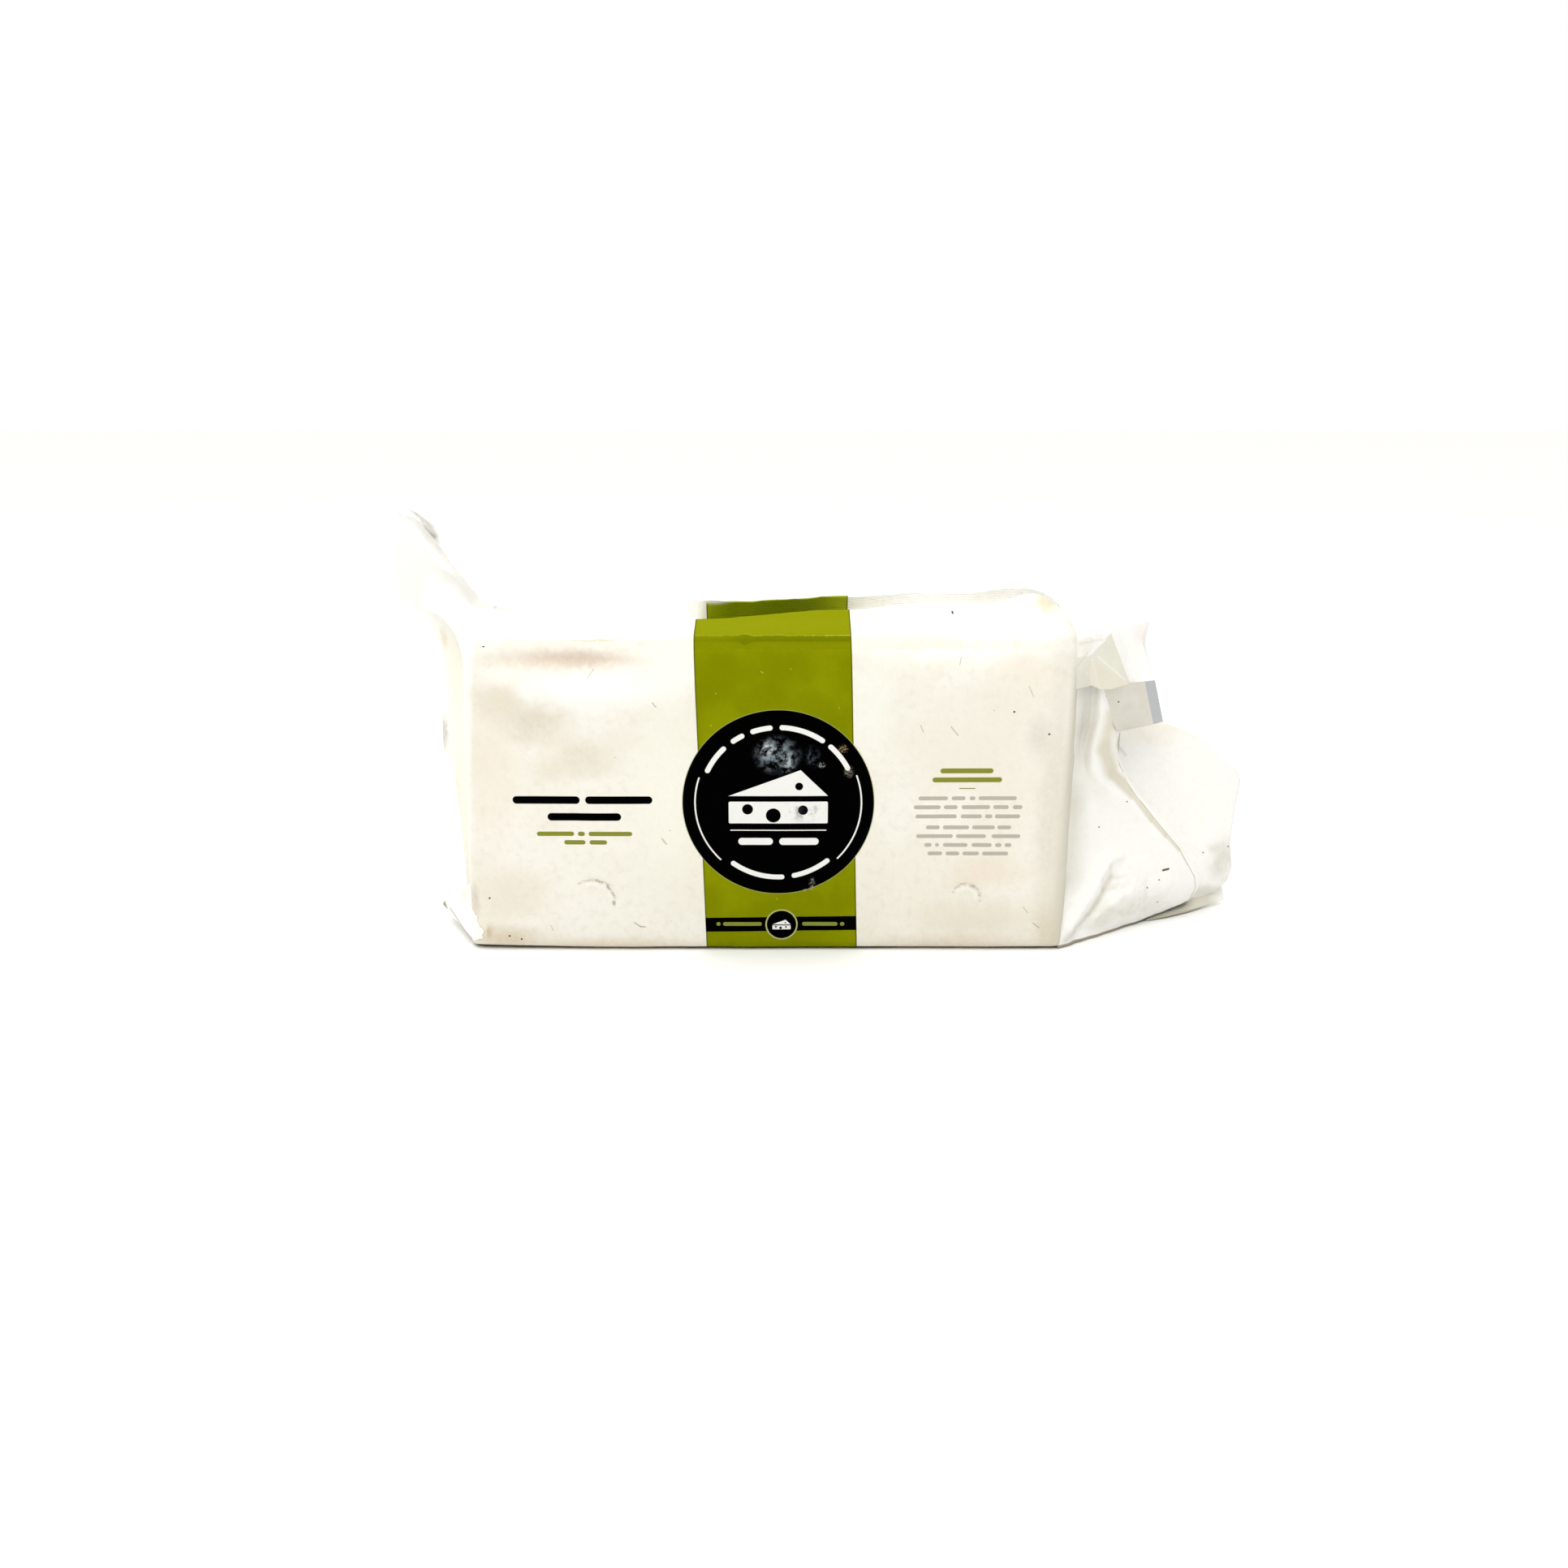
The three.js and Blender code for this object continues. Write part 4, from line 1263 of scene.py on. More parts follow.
# %% Lip and flap films
LIP_SHADE_GREY = ink(214, 210, 200)
LIP_PAINTED_SHADE = ink(120, 116, 104)
LIP_HOOK = ((-130.2, 133.6), (-125.4, 128.8), 0.3, 1.3, LIP_PAINTED_SHADE, 0.7)
FLAP_SHADE = ink(208, 203, 182)

lip_film, pen, place, colour, dots = film_base("lip film with painted shade", False, 0.4)
# Painted shade inside the lip, and a darker painted shadow along its hook.
lip_shade = pen.product(pen.ramp(pen.noise(place, 0.35, 3, 0.6), 0.35, 0.7), 0.25)
colour = pen.over(colour, LIP_SHADE_GREY, lip_shade)
close_material(pen, stroked(pen, pen.flat(place), colour, [LIP_HOOK]), dots)

flap_film, pen, place, colour, dots = film_base("flap film", False, 0.5)
shaded = pen.product(pen.ramp(pen.split(place)[0], 138, 131), 0.75)
close_material(pen, pen.over(colour, FLAP_SHADE, shaded), dots)
print("two more films:", lip_film.name, "and", flap_film.name)

# %% Strip film
STRIP_TOP = (104.4, -15, 83.1)
STRIP_END = (109.0, -11, 68.6)
STRIP_FLECKS = [(88.2, 78.6), (92.6, 76.6)]
STRIP_SHADE_GREY = ink(212, 208, 196)
EYE_MARK_GREY = ink(188, 190, 193)
EYE_MARK_WIDTH = 3.6

strip_film, pen, place, colour, dots = film_base("strip film", False, 0.4)
flat_place = pen.flat(place)
# The strip is painted grey all over, broken by noise, as painted shade.
strip_shade = pen.math("MULTIPLY_ADD", pen.noise(place, 0.2, 2, 0.5), 0.5, 0.6)
colour = pen.over(colour, STRIP_SHADE_GREY, strip_shade)
colour = pen.over(colour, SPECK, flecks(pen, flat_place, STRIP_FLECKS, END_FLECK_RADIUS))
outward = (STRIP_TOP[2] - STRIP_END[2], STRIP_END[0] - STRIP_TOP[0])
off_mark = half_plane(pen, flat_place, (STRIP_TOP[0] - EYE_MARK_WIDTH, STRIP_TOP[2]), outward)
close_material(pen, pen.over(EYE_MARK_GREY, colour, off_mark), dots)
print("the grey bar is", EYE_MARK_WIDTH, "mm wide")

# %% [markdown]
# ## The tube round the brick
# The main piece is one web folded round the brick: under the foot, up the front panel, over the roof to
# the fin, and down the back. A box with rounded edges would be quicker, but it couldn't carry the roof's
# soft ridge or run on into the ends. Each column of the grid is a cross-section of the pack. At the left
# end the columns run from the brick out to the cut edge of the film, up into the standing ear, and at
# the right end they draw together to a flat seal, which is closed with a face. The brick was cut a little
# out of square, so its left corner leans out at the foot.

# %% Tube sizes
BRICK_LEFT = -113
BRICK_RIGHT = 74
HALF_DEPTH = 40
SHOULDER_HEIGHT = 78
CREASE_HEIGHT = 100.5
CREASE_SETBACK = 7
FOOT_ROUNDING = 1.5
LEFT_FOOT_LIFT = 2
FOOT_REACH = 45
RIGHT_SEAL = 98
RIGHT_SEAL_HEIGHT = 84
FRONT_RIDGE = [
    [-113, -15, 107.5],
    [-96, -18, 105],
    [-81, -20, 103],
    [-62, -22, 103],
    [-43, -23, 105.0],
    [6, -20, 107.7],
    [27, -17, 109.0],
    [50, -13, 108.4],
    [65, -10, 111.4],
    [74, -14, 107],
]
BACK_RIDGE = (20, 101.8)
FRONT_FOLD = (35.5, 101.7)
FIN_FOOT_HEIGHT = 97.5
GIRTH_STEPS = 330
BRICK_STEPS = 160
LEFT_STEPS = 36
RIGHT_STEPS = 40
TYPICAL_SECTION = -40
print("the brick is", BRICK_RIGHT - BRICK_LEFT, "by", 2 * HALF_DEPTH, "by", CREASE_HEIGHT, "mm")


# %% Cross-section
def section_corners(x):
    """The outline of the pack across x, as (y, z) corners, starting under the middle of the pack."""
    ridge_y = along(FRONT_RIDGE, x, 1)
    ridge_z = along(FRONT_RIDGE, x, 2)
    lift = np.clip((BRICK_LEFT + FOOT_REACH - x) / FOOT_REACH, 0, 1) ** 2
    foot = FOOT_ROUNDING + LEFT_FOOT_LIFT * float(lift)
    setback = HALF_DEPTH - CREASE_SETBACK
    return np.array([
        (0, 0),
        (-HALF_DEPTH + 4 + 2 * foot, 0),
        (-HALF_DEPTH + 0.8, 0.4 * foot),
        (-HALF_DEPTH, foot + 0.4),
        (-HALF_DEPTH + 0.2, SHOULDER_HEIGHT + 8),
        (-HALF_DEPTH + 1.6, SHOULDER_HEIGHT + 18.5),
        (-FRONT_FOLD[0], FRONT_FOLD[1]),
        (ridge_y, ridge_z),
        (-1.5, FIN_FOOT_HEIGHT),
        (1.5, FIN_FOOT_HEIGHT),
        BACK_RIDGE,
        (setback, CREASE_HEIGHT),
        (HALF_DEPTH - 2, SHOULDER_HEIGHT + 13),
        (HALF_DEPTH, SHOULDER_HEIGHT),
        (HALF_DEPTH, FOOT_ROUNDING),
        (HALF_DEPTH - FOOT_ROUNDING, 0),
        (0, 0),
    ])


GIRTH_MARKS = length_marks(section_corners(TYPICAL_SECTION))
ROUND = np.linspace(0, 1, GIRTH_STEPS + 1)


def section(x):
    """One cross-section with all its points: an array of (y, z)."""
    return np.stack([np.interp(ROUND, GIRTH_MARKS, values) for values in section_corners(x).T], axis=-1)


girth = np.linalg.norm(np.diff(section(0), axis=0), axis=1).sum()
print("a cross-section is", max(section(0)[:, 1]), "mm high and", round(float(girth)), "mm round")

# %% Left edge and ear
# The cut edge of the left end, as (x, z): up the side, out to the ear and up to its tip.
LEFT_EDGE_SIDE = [(-124.6, 1.0), (-125.0, 20), (-126.0, 38), (-127.2, 53), (-129.8, 54.3), (-129.4, 69.2)]
LEFT_EDGE_SIDE += [(-127.6, 70.5), (-127.4, 82), (-128.4, 93), (-136.5, 104)]
LEFT_EDGE_EAR = [(-136.5, 104), (-141.6, 106.3), (-141, 116), (-140.4, 125), (-138.4, 132), (-136.0, 136.6)]
EAR_HEIGHT = 36.5
EAR_TIP_CURL = 7
EAR_ROLL_LINE = (-112, 103), (-134.5, 137.5)
EAR_ROLL_WIDTH = 9
EAR_ROLL = 6.5
# Which corners of the cross-section end at the foot, at the front fold and on each side of the fin.
FOOT_CORNER, FOLD_CORNER, FIN_CORNER, FIN_BACK_CORNER = 3, 6, 8, 9


def left_cut_edge():
    """Where each point of the section ends on the cut edge of the left end, as (x, z)."""
    foot, fold = GIRTH_MARKS[FOOT_CORNER], GIRTH_MARKS[FOLD_CORNER]
    tip, tip_back = GIRTH_MARKS[FIN_CORNER], GIRTH_MARKS[FIN_BACK_CORNER]
    share = np.where(ROUND > tip, tip + tip_back - ROUND, ROUND)
    side = polyline(LEFT_EDGE_SIDE, np.clip((share - foot) / (fold - foot), 0, 1))
    ear = polyline(LEFT_EDGE_EAR, np.clip((share - fold) / (tip - fold), 0, 1))
    return np.where((share > fold)[:, None], ear, side)


def ear_bend(x, z):
    """How far the ear leans and rolls forward at a place on it."""
    rise = np.clip((z - CREASE_HEIGHT) / EAR_HEIGHT, 0, 1)
    distance, _ = near_line(x, z, *EAR_ROLL_LINE)
    roll = np.clip(1 - distance / EAR_ROLL_WIDTH, 0, 1) ** 2 * eased((z - 112) / 16)
    return -EAR_TIP_CURL * rise**2 - EAR_ROLL * roll


print("points on the cut edge of the left end:", len(left_cut_edge()))

# %% Columns of the ends
SEAL_SHARE = 0.74
FRONT_TUCK = 3.0
BACK_TUCK = 1.5


def left_column(share):
    """A column of the left end: share 0 on the brick, 1 on the cut edge."""
    end = section(BRICK_LEFT)
    edge = left_cut_edge()
    seal_x = edge[:, 0] + np.interp(edge[:, 1], [0, 95, 137], [5.5, 8, 9])
    seal_z = edge[:, 1] - np.interp(edge[:, 1], [95, 105, 137], [0, 2, 8])
    wedge = min(share / SEAL_SHARE, 1)
    strip = max((share - SEAL_SHARE) / (1 - SEAL_SHARE), 0)
    inset = np.sign(end[:, 0]) * 0.35 * (1 - strip)
    x = mix(mix(BRICK_LEFT, seal_x, wedge), edge[:, 0], strip)
    y = mix(end[:, 0], inset, wedge)
    z = mix(mix(end[:, 1], seal_z, wedge), edge[:, 1], strip)
    bend = ear_bend(x, z) * wedge
    return np.stack([x, y + bend, z], axis=-1)


def right_column(share):
    """A column of the wedge at the right end: share 0 on the brick, 1 on the seal."""
    end = section(BRICK_RIGHT)
    tuck = np.where(end[:, 0] < 0, FRONT_TUCK, BACK_TUCK)
    depth = mix(0.3 / HALF_DEPTH, 1, (1 - share) ** tuck)
    drop = mix(1, RIGHT_SEAL_HEIGHT / CREASE_HEIGHT, share)
    x = np.full(len(end), mix(BRICK_RIGHT, RIGHT_SEAL, share))
    return np.stack([x, end[:, 0] * depth, end[:, 1] * drop], axis=-1)


print("the seal is", max(right_column(1.0)[:, 2]), "mm high")


# %% Columns of the whole tube
LEFT_LEAN = 2.4
RIGHT_CORNER_REACH = 8.5


def tube_columns():
    columns = [left_column(1 - step / LEFT_STEPS) for step in range(LEFT_STEPS)]
    for step in range(BRICK_STEPS + 1):
        x = mix(BRICK_LEFT, BRICK_RIGHT, step / BRICK_STEPS)
        outline = section(x)
        columns.append(np.column_stack([np.full(len(outline), x), outline]))
    columns += [right_column((step + 1) / RIGHT_STEPS) for step in range(RIGHT_STEPS)]
    return np.array(columns)


def leaning_corner(places):
    """Moves the brick's left end out at the foot, as the cheese was cut a little out of square."""
    x, y, z = places.T
    on_panel = np.clip((-100 - x) / 13, 0, 1)
    on_wedge = np.clip((x + 124) / 11, 0, 1)
    shift = LEFT_LEAN * np.where(x > BRICK_LEFT, on_panel, on_wedge) * np.clip(1 - z / 95, 0, 1)
    return np.column_stack([x - shift, y, z])


def rounded_corner(places):
    """Turns the panel's right edge back, over a strip that is wider at the top."""
    x, y, z = places.T
    reach = mix(1.2, RIGHT_CORNER_REACH, np.clip(z / 100, 0, 1))
    past = np.clip((x - (BRICK_RIGHT - reach)) / reach, 0, 1)
    back = np.where(y < -30, 0.45 * reach * past**2, 0) * (x <= BRICK_RIGHT + 0.01)
    return np.column_stack([x, y + back, z])


print("the tube has", len(tube_columns()), "columns of", GIRTH_STEPS + 1, "points")

# %% Fold and close the tube
CLOSE_TOGETHER = 0.02
tube, tube_columns_at, tube_rows_at = web(LEFT_STEPS + BRICK_STEPS + RIGHT_STEPS, GIRTH_STEPS)
move_to(tube, leaning_corner(rounded_corner(tube_columns()[tube_columns_at, tube_rows_at])))
bmesh.ops.remove_doubles(tube, verts=tube.verts, dist=CLOSE_TOGETHER)
seal_edges = [edge for edge in tube.edges if edge.is_boundary and edge.verts[0].co.x > RIGHT_SEAL - 1]
bmesh.ops.holes_fill(tube, edges=seal_edges, sides=0)
bmesh.ops.recalc_face_normals(tube, faces=tube.faces)
off_edge = [vertex for vertex in tube.verts if not vertex.is_boundary]
inner = [vertex for vertex in off_edge if vertex.co.x > -124 and vertex.co.z > 0.01]
smooth_film(tube, inner, rounds=4)
print("tube vertices:", len(tube.verts), "open edges:", sum(edge.is_boundary for edge in tube.edges))

# %% [markdown]
# ## Marks on the tube
# The front panel shows where the pack has been held and stacked: a dented strip under the left crease
# with a swell below it, two thumb crescents, and soft lines beside the corners. The loose film of the
# roof has long shallow folds, and the back and both ends have creases of the same kind. All of it is
# pushed out of the web along its normals. A sculpting brush would do that by hand, but a list of lines
# can be read, moved and made again.

# %% Marks of the front
FRONT_CREASES = [
    ((-110.5, 97), (-111.6, 60), 0.5, 1.6),
    ((-111.6, 62), (-113.6, 20), 0.5, 1.6),
    ((66.4, 80), (66.8, 100), 0.35, 1.3),
    ((-86, 99.6), (-60, 99.0), 0.3, 0.8),
    ((-41, 99.4), (9, 99.4), -0.3, 0.7),
    ((-31.5, 100.2), (-27.5, 99.2), 0.35, 0.6),
    ((-27.5, 99.2), (-23.5, 100.0), 0.3, 0.6),
    ((-41, 97.6), (9, 97.8), 0.15, 1.2),
    ((-62, 9.5), (-59.5, 7.5), 0.25, 0.7),
]
FRONT_SWELLS = [
    ((-86, 95.2), (20, 2.6), -1.1),
    ((-74, 86), (26, 6), 1.2),
    ((-97, 74), (13, 10), -1.0),
    ((-60, 60), (26, 22), 0.25),
    ((40, 88), (22, 8), 0.35),
    ((55, 60), (14, 20), -0.3),
]
print("creases on the front:", len(FRONT_CREASES), "and swells:", len(FRONT_SWELLS))

# %% Marks of the back, the ends and the roof
BACK_CREASES = [
    ((-108, 93), (-66, 83), 0.6, 2.4),
    ((-111, 9), (-90, 26), 0.6, 2.2),
    ((-104, 62), (-84, 50), 0.4, 3.0),
    ((71, 94), (44, 70), 0.7, 2.6),
    ((72, 9), (54, 36), 0.7, 2.4),
    ((74, 40), (58, 52), -0.5, 2.6),
    ((8, 97), (66, 95), 0.35, 1.2),
    ((-100, 97), (-42, 96), -0.35, 1.4),
    ((16, 20), (34, 12), 0.4, 1.6),
]
BACK_WEDGE_CREASES = [
    ((75, 4), (95, 34), 1.7, 2.2),
    ((78, 2), (97, 20), -1.3, 2.0),
    ((75, 94), (95, 62), 1.6, 2.2),
    ((80, 90), (97, 74), -1.2, 1.8),
    ((84, 30), (92, 66), 1.2, 2.0),
    ((75, 52), (88, 44), -1.0, 2.0),
]
BACK_SWELLS = [
    ((-66, 48), (28, 26), 0.9),
    ((-96, 82), (14, 10), -0.8),
    ((34, 52), (30, 26), -0.9),
    ((60, 20), (15, 14), 0.8),
    ((-14, 60), (22, 34), 0.5),
]
# Creases of the left end, as (y, z).
LEFT_END_CREASES = [
    ((-37, 5), (-4, 33), 0.7, 2.4),
    ((-36, 93), (-5, 70), 0.8, 2.6),
    ((-30, 60), (-6, 52), -0.5, 3.0),
    ((37, 5), (4, 42), 1.1, 2.6),
    ((34, 3), (5, 18), -0.8, 2.2),
    ((37, 92), (4, 60), 1.0, 2.8),
    ((33, 98), (6, 78), -0.7, 2.4),
    ((30, 45), (8, 50), 0.6, 3.2),
]
ROOF_FOLDS = [
    ((-108, -30), (-70, -22), 0.8, 3.0),
    ((-60, -26), (20, -24), -0.5, 4.0),
    ((20, -25), (72, -22), 0.6, 3.0),
    ((50, -30), (73, -18), -0.7, 2.5),
    ((-100, 14), (-20, 24), -0.6, 4.0),
    ((0, 12), (70, 22), -0.7, 4.0),
]
print("creases on the back:", len(BACK_CREASES), "and on the roof:", len(ROOF_FOLDS))

# %% Tube relief
# The front and the back are the film that lies further out than this, in y.
FACE_STARTS = 31.5
THUMB_DEPTH, THUMB_RIM, THUMB_WIDTH = -0.7, 0.5, 0.8

spots = places_of(tube)
x, y, z = spots.T
relief = np.zeros(len(spots))
front = eased((-FACE_STARTS - y) / 2)
add_creases(relief, front, x, z, FRONT_CREASES)
add_swells(relief, front, x, z, FRONT_SWELLS)
back = eased((y - FACE_STARTS) / 3)
add_creases(relief, back, x, z, BACK_CREASES)
add_swells(relief, back, x, z, BACK_SWELLS)
back_wedge = np.where(y > 1, 1, 0) * eased((x - BRICK_RIGHT) / 3) * eased((RIGHT_SEAL - 1 - x) / 4)
add_creases(relief, back_wedge, x, z, BACK_WEDGE_CREASES)
left_end = eased((BRICK_LEFT - 1 - x) / 1.5) * eased((np.abs(y) - 1.5) / 3)
add_creases(relief, left_end, y, z, LEFT_END_CREASES)
for centre, radius, first, last in THUMB_MARKS:
    relief += front * crescent(x, z, centre, radius, first, last, THUMB_DEPTH, THUMB_WIDTH)
    relief += front * crescent(x, z, centre, radius - 1.3, first, last, THUMB_RIM, THUMB_WIDTH)
roof = eased((z - 99) / 2) * eased((x + 112) / 6)
add_creases(relief, roof, x, y, ROOF_FOLDS)
print("highest crease:", round(relief.max(), 2), "mm and deepest:", round(relief.min(), 2), "mm")

# %% Slack film and the two materials
BACK_SLACK = 2.0
PANEL_TOP = 98.3
PANEL_DEPTH = -30

slack = mix(1.0, BACK_SLACK, eased((y - 20) / 14))
loose = slack * (0.28 * rumple(spots, 26, 1) + 0.1 * rumple(spots, 8, 2) + 0.05 * rumple(spots, 3.2, 3))
relief += loose * eased(z / 1.5)
relief *= eased((x + 124) / 4) * np.where(z < 0.02, 0, 1)
push_out(tube, relief)

for face in tube.faces:
    middle = face.calc_center_median()
    face.material_index = 0 if middle.y < PANEL_DEPTH and middle.z < PANEL_TOP else 1
finish_piece("film_body", tube, [panel_film, wrap_film])

# %% [markdown]
# ## The fin seal
# The two edges of the web are welded face to face into a fin that stands along the roof. Ribbed jaws
# leave fine lines along it. The fin is its own strip: it leans to the front over the band and back at
# both ends, its free edge waves, and at the left it runs up the side of the ear. A stack of thin strips
# would also make the ribs, but a grid whose rows step in and out is one clean sheet.

# %% Lines of the fin
FIN_FOOT_Z = 96.5
FIN_RIGHT, FIN_EDGE_LEFT, FIN_FOOT_LEFT = 78, -99, -104
FIN_EDGE = [
    (-99, 103.5),
    (-84, 101.5),
    (-62, 103),
    (-40, 107.4),
    (-27, 107.0),
    (-17, 107.8),
    (5, 108.8),
    (40, 108.4),
    (63, 110.4),
    (70, 109),
    (78, 103),
]
# From here both lines run up the side of the ear.
FIN_EAR_FOOT = [(-112, 98.5), (-123, 113), (-130, 125), (-135, 134.5)]
FIN_EAR_EDGE = [(-106, 103.8), (-113.5, 106), (-121, 117), (-125, 125.5), (-129, 132.3)]
FIN_EAR_EDGE += [(-133, 135.9), (-136, 136.8)]
FIN_COLUMNS = 220
FIN_ROWS = 96

shares = np.linspace(0, 1, FIN_COLUMNS + 1)
free_edge = [(x, along(FIN_EDGE, x)) for x in np.linspace(FIN_RIGHT, FIN_EDGE_LEFT, 90)]
foot_line = [(x, FIN_FOOT_Z) for x in np.linspace(FIN_RIGHT, FIN_FOOT_LEFT, 90)]
edge = polyline(free_edge + FIN_EAR_EDGE, shares)
foot = polyline(foot_line + FIN_EAR_FOOT, shares)
print("the fin is up to", round(float(np.hypot(*(edge - foot).T).max()), 1), "mm wide")

# %% Fin
FIN_LEAN = 3.5
FIN_LEAN_ENDS = -4.0
RIB_DEPTH = 0.1
SEAL_THICKNESS = 0.5

fin, fin_columns_at, fin_rows_at = web(FIN_COLUMNS, FIN_ROWS)
up = fin_rows_at / FIN_ROWS
x = mix(foot[fin_columns_at, 0], edge[fin_columns_at, 0], up)
z = mix(foot[fin_columns_at, 1], edge[fin_columns_at, 1], up)
standing = eased((x + 112) / 8)
wave = 0.7 * np.sin(x / 11.0) + 0.4 * np.sin(x / 4.7 + 1)
rib = RIB_DEPTH * np.sin(up * np.hypot(*(edge - foot)[fin_columns_at].T) * 2 * np.pi / RIB_PITCH)
lean = mix(FIN_LEAN_ENDS, FIN_LEAN, eased((x + 49) / 9) * eased((30 - x) / 24))
y = -lean * up * standing + wave * up**2 * standing + rib + ear_bend(x, z) - 0.6 * (1 - standing)
lay_out(fin, np.column_stack([x, y, z]))
finish_piece("fin_seal", fin, [fin_film], SEAL_THICKNESS)

# %% [markdown]
# ## The ear at the foot
# At the left foot the spare film is folded into a small flat ear. It is a hull round nine corners, whose
# edges are cut finer and smoothed, so that it looks like a fold and not like a cut block.

# %% Foot ear
FOOT_EAR = [
    (-131.2, -11.5, 5.2),
    (-130.4, -11.5, 7.2),
    (-125.8, -20.0, 7.2),
    (-121.0, -28.5, 5.4),
    (-116.4, -36.5, 3.4),
    (-114.5, -38.6, 2.4),
    (-118.5, -19.0, 16),
    (-115.5, -34.0, 9),
    (-113.0, -8.0, 1),
]
ear = bmesh.new()
for corner in FOOT_EAR:
    ear.verts.new(corner)
bmesh.ops.convex_hull(ear, input=ear.verts)
bmesh.ops.subdivide_edges(ear, edges=ear.edges, cuts=7, use_grid_fill=True)
smooth_film(ear, ear.verts)
push_out(ear, 0.35 * rumple(places_of(ear), 6, 4))
bmesh.ops.recalc_face_normals(ear, faces=ear.faces)
finish_piece("foot_ear", ear, [loose_film])

# %% [markdown]
# ## The rolled lip of the ear
# The tip of the standing ear rolls over to the front like a breaking wave, and its inside carries painted
# shade. It is an open half pipe swept along a curved line. A curve with a bevel would be a closed tube.

# %% Ear lip
LIP_LINE = [(-132.2, 137.6), (-130.2, 136.2), (-128.0, 134.2)]
LIP_LINE += [(-126.2, 131.6), (-124.9, 129.0), (-124.0, 126.4)]
# The radius of the roll at shares of its length, and the angles between which it is open.
LIP_RADII = [(0.0, 0.2), (0.25, 0.8), (0.55, 1.5), (0.8, 1.1), (1.0, 0.2)]
LIP_ARC = (-35, 215)
LIP_DEPTH = -14.0
LIP_THICKNESS = 0.25
LIP_ALONG = 60
LIP_AROUND = 24
lip, lip_columns_at, lip_rows_at = web(LIP_ALONG, LIP_AROUND)
shares = np.linspace(0, 1, LIP_ALONG + 1)
line = polyline(LIP_LINE, shares)
heading = np.gradient(line, axis=0)
heading /= np.linalg.norm(heading, axis=1)[:, None]
radii = np.array([along(LIP_RADII, share) for share in shares])
angle = np.radians(mix(*LIP_ARC, lip_rows_at / LIP_AROUND))
outward = np.column_stack([-heading[:, 1], heading[:, 0]])[lip_columns_at]
radius = radii[lip_columns_at]
across = line[lip_columns_at] + outward * (radius * np.cos(angle))[:, None]
depth = LIP_DEPTH + radius * np.sin(angle) + 2.5 * (lip_columns_at / LIP_ALONG) ** 2
lay_out(lip, np.column_stack([across[:, 0], depth, across[:, 1]]))
finish_piece("ear_lip", lip, [lip_film], LIP_THICKNESS)

# %% [markdown]
# ## The gusset at the right end
# At the right the film leaves the panel's corner, dips into a valley, swells out again and is folded
# back on itself at its outer edge. Loose film bends smoothly, so the piece is a net of measured knots
# with a smooth surface through them. Straight facets would look like folded card. Near the foot the film
# is crumpled, which is sharp creases with two sizes of noise between them.

# %% Gusset net
GUSSET_ROWS = [
    [(73, -38.4, 0.1), (76.3, -37, 0.2), (101.8, -18, 0.5), (122.6, -6.8, 4.2), (123.8, -3, 4)],
    [(73, -38.4, 8.5), (76.1, -35, 8.3), (97.2, -24, 9.5), (124.2, -8, 12), (126, -3.5, 11.5)],
    [(73, -38.2, 19.6), (76.8, -32, 18.5), (93.1, -21.5, 18.5), (115.7, -10.5, 25), (118.2, -5, 23.9)],
    [(73, -37.8, 33.2), (77.7, -28, 31.3), (90.2, -17.5, 30.4), (104.7, -12.5, 35.9), (108.3, -6.5, 35.4)],
    [(73, -37.3, 45.3), (78.4, -24, 42.7), (87, -16.2, 42.7), (94.8, -16.4, 45.5), (101.1, -7, 44.4)],
    [(73, -36.8, 57.2), (79.5, -20, 53.2), (83.1, -15.8, 52.6), (86.4, -18, 53.7), (96.7, -9, 51.7)],
    [(73, -36.4, 67.6), (80.6, -17, 62.7), (83, -15.8, 62.1), (85.6, -19.2, 63.1), (93.8, -11, 59.8)],
    [(73, -36, 76.6), (81.9, -16, 71.9), (84.5, -16, 71.5), (87.2, -19.4, 72), (94.4, -12, 68.6)],
    [(73, -35.6, 88.5), (81.4, -18, 85.4), (84.1, -17.5, 84.6), (86.4, -19.5, 84), (92.7, -11, 80.9)],
]
GUSSET_ACROSS = 129
GUSSET_UP = 150


def with_return(row):
    """Adds the fold at the outer edge: the film turns back behind itself towards the seal's plane."""
    x, y, z = row[-1]
    reach = -y
    return row + [(x + 0.9, y + 0.35 * reach, z), (x - 0.5, 0.9, z - 0.2)]


knots = np.array([with_return(row) for row in GUSSET_ROWS])
gusset, gusset_columns_at, gusset_rows_at = web(GUSSET_ACROSS, GUSSET_UP)
across = spline_weights(knots.shape[1], np.linspace(0, 1, GUSSET_ACROSS + 1))
upwards = spline_weights(knots.shape[0], np.linspace(0, 1, GUSSET_UP + 1))
net = np.einsum("ur,ac,rcx->uax", upwards, across, knots)
lay_out(gusset, net[gusset_rows_at, gusset_columns_at])
print("knots of the gusset:", knots.shape[0] * knots.shape[1], "points:", len(gusset.verts))

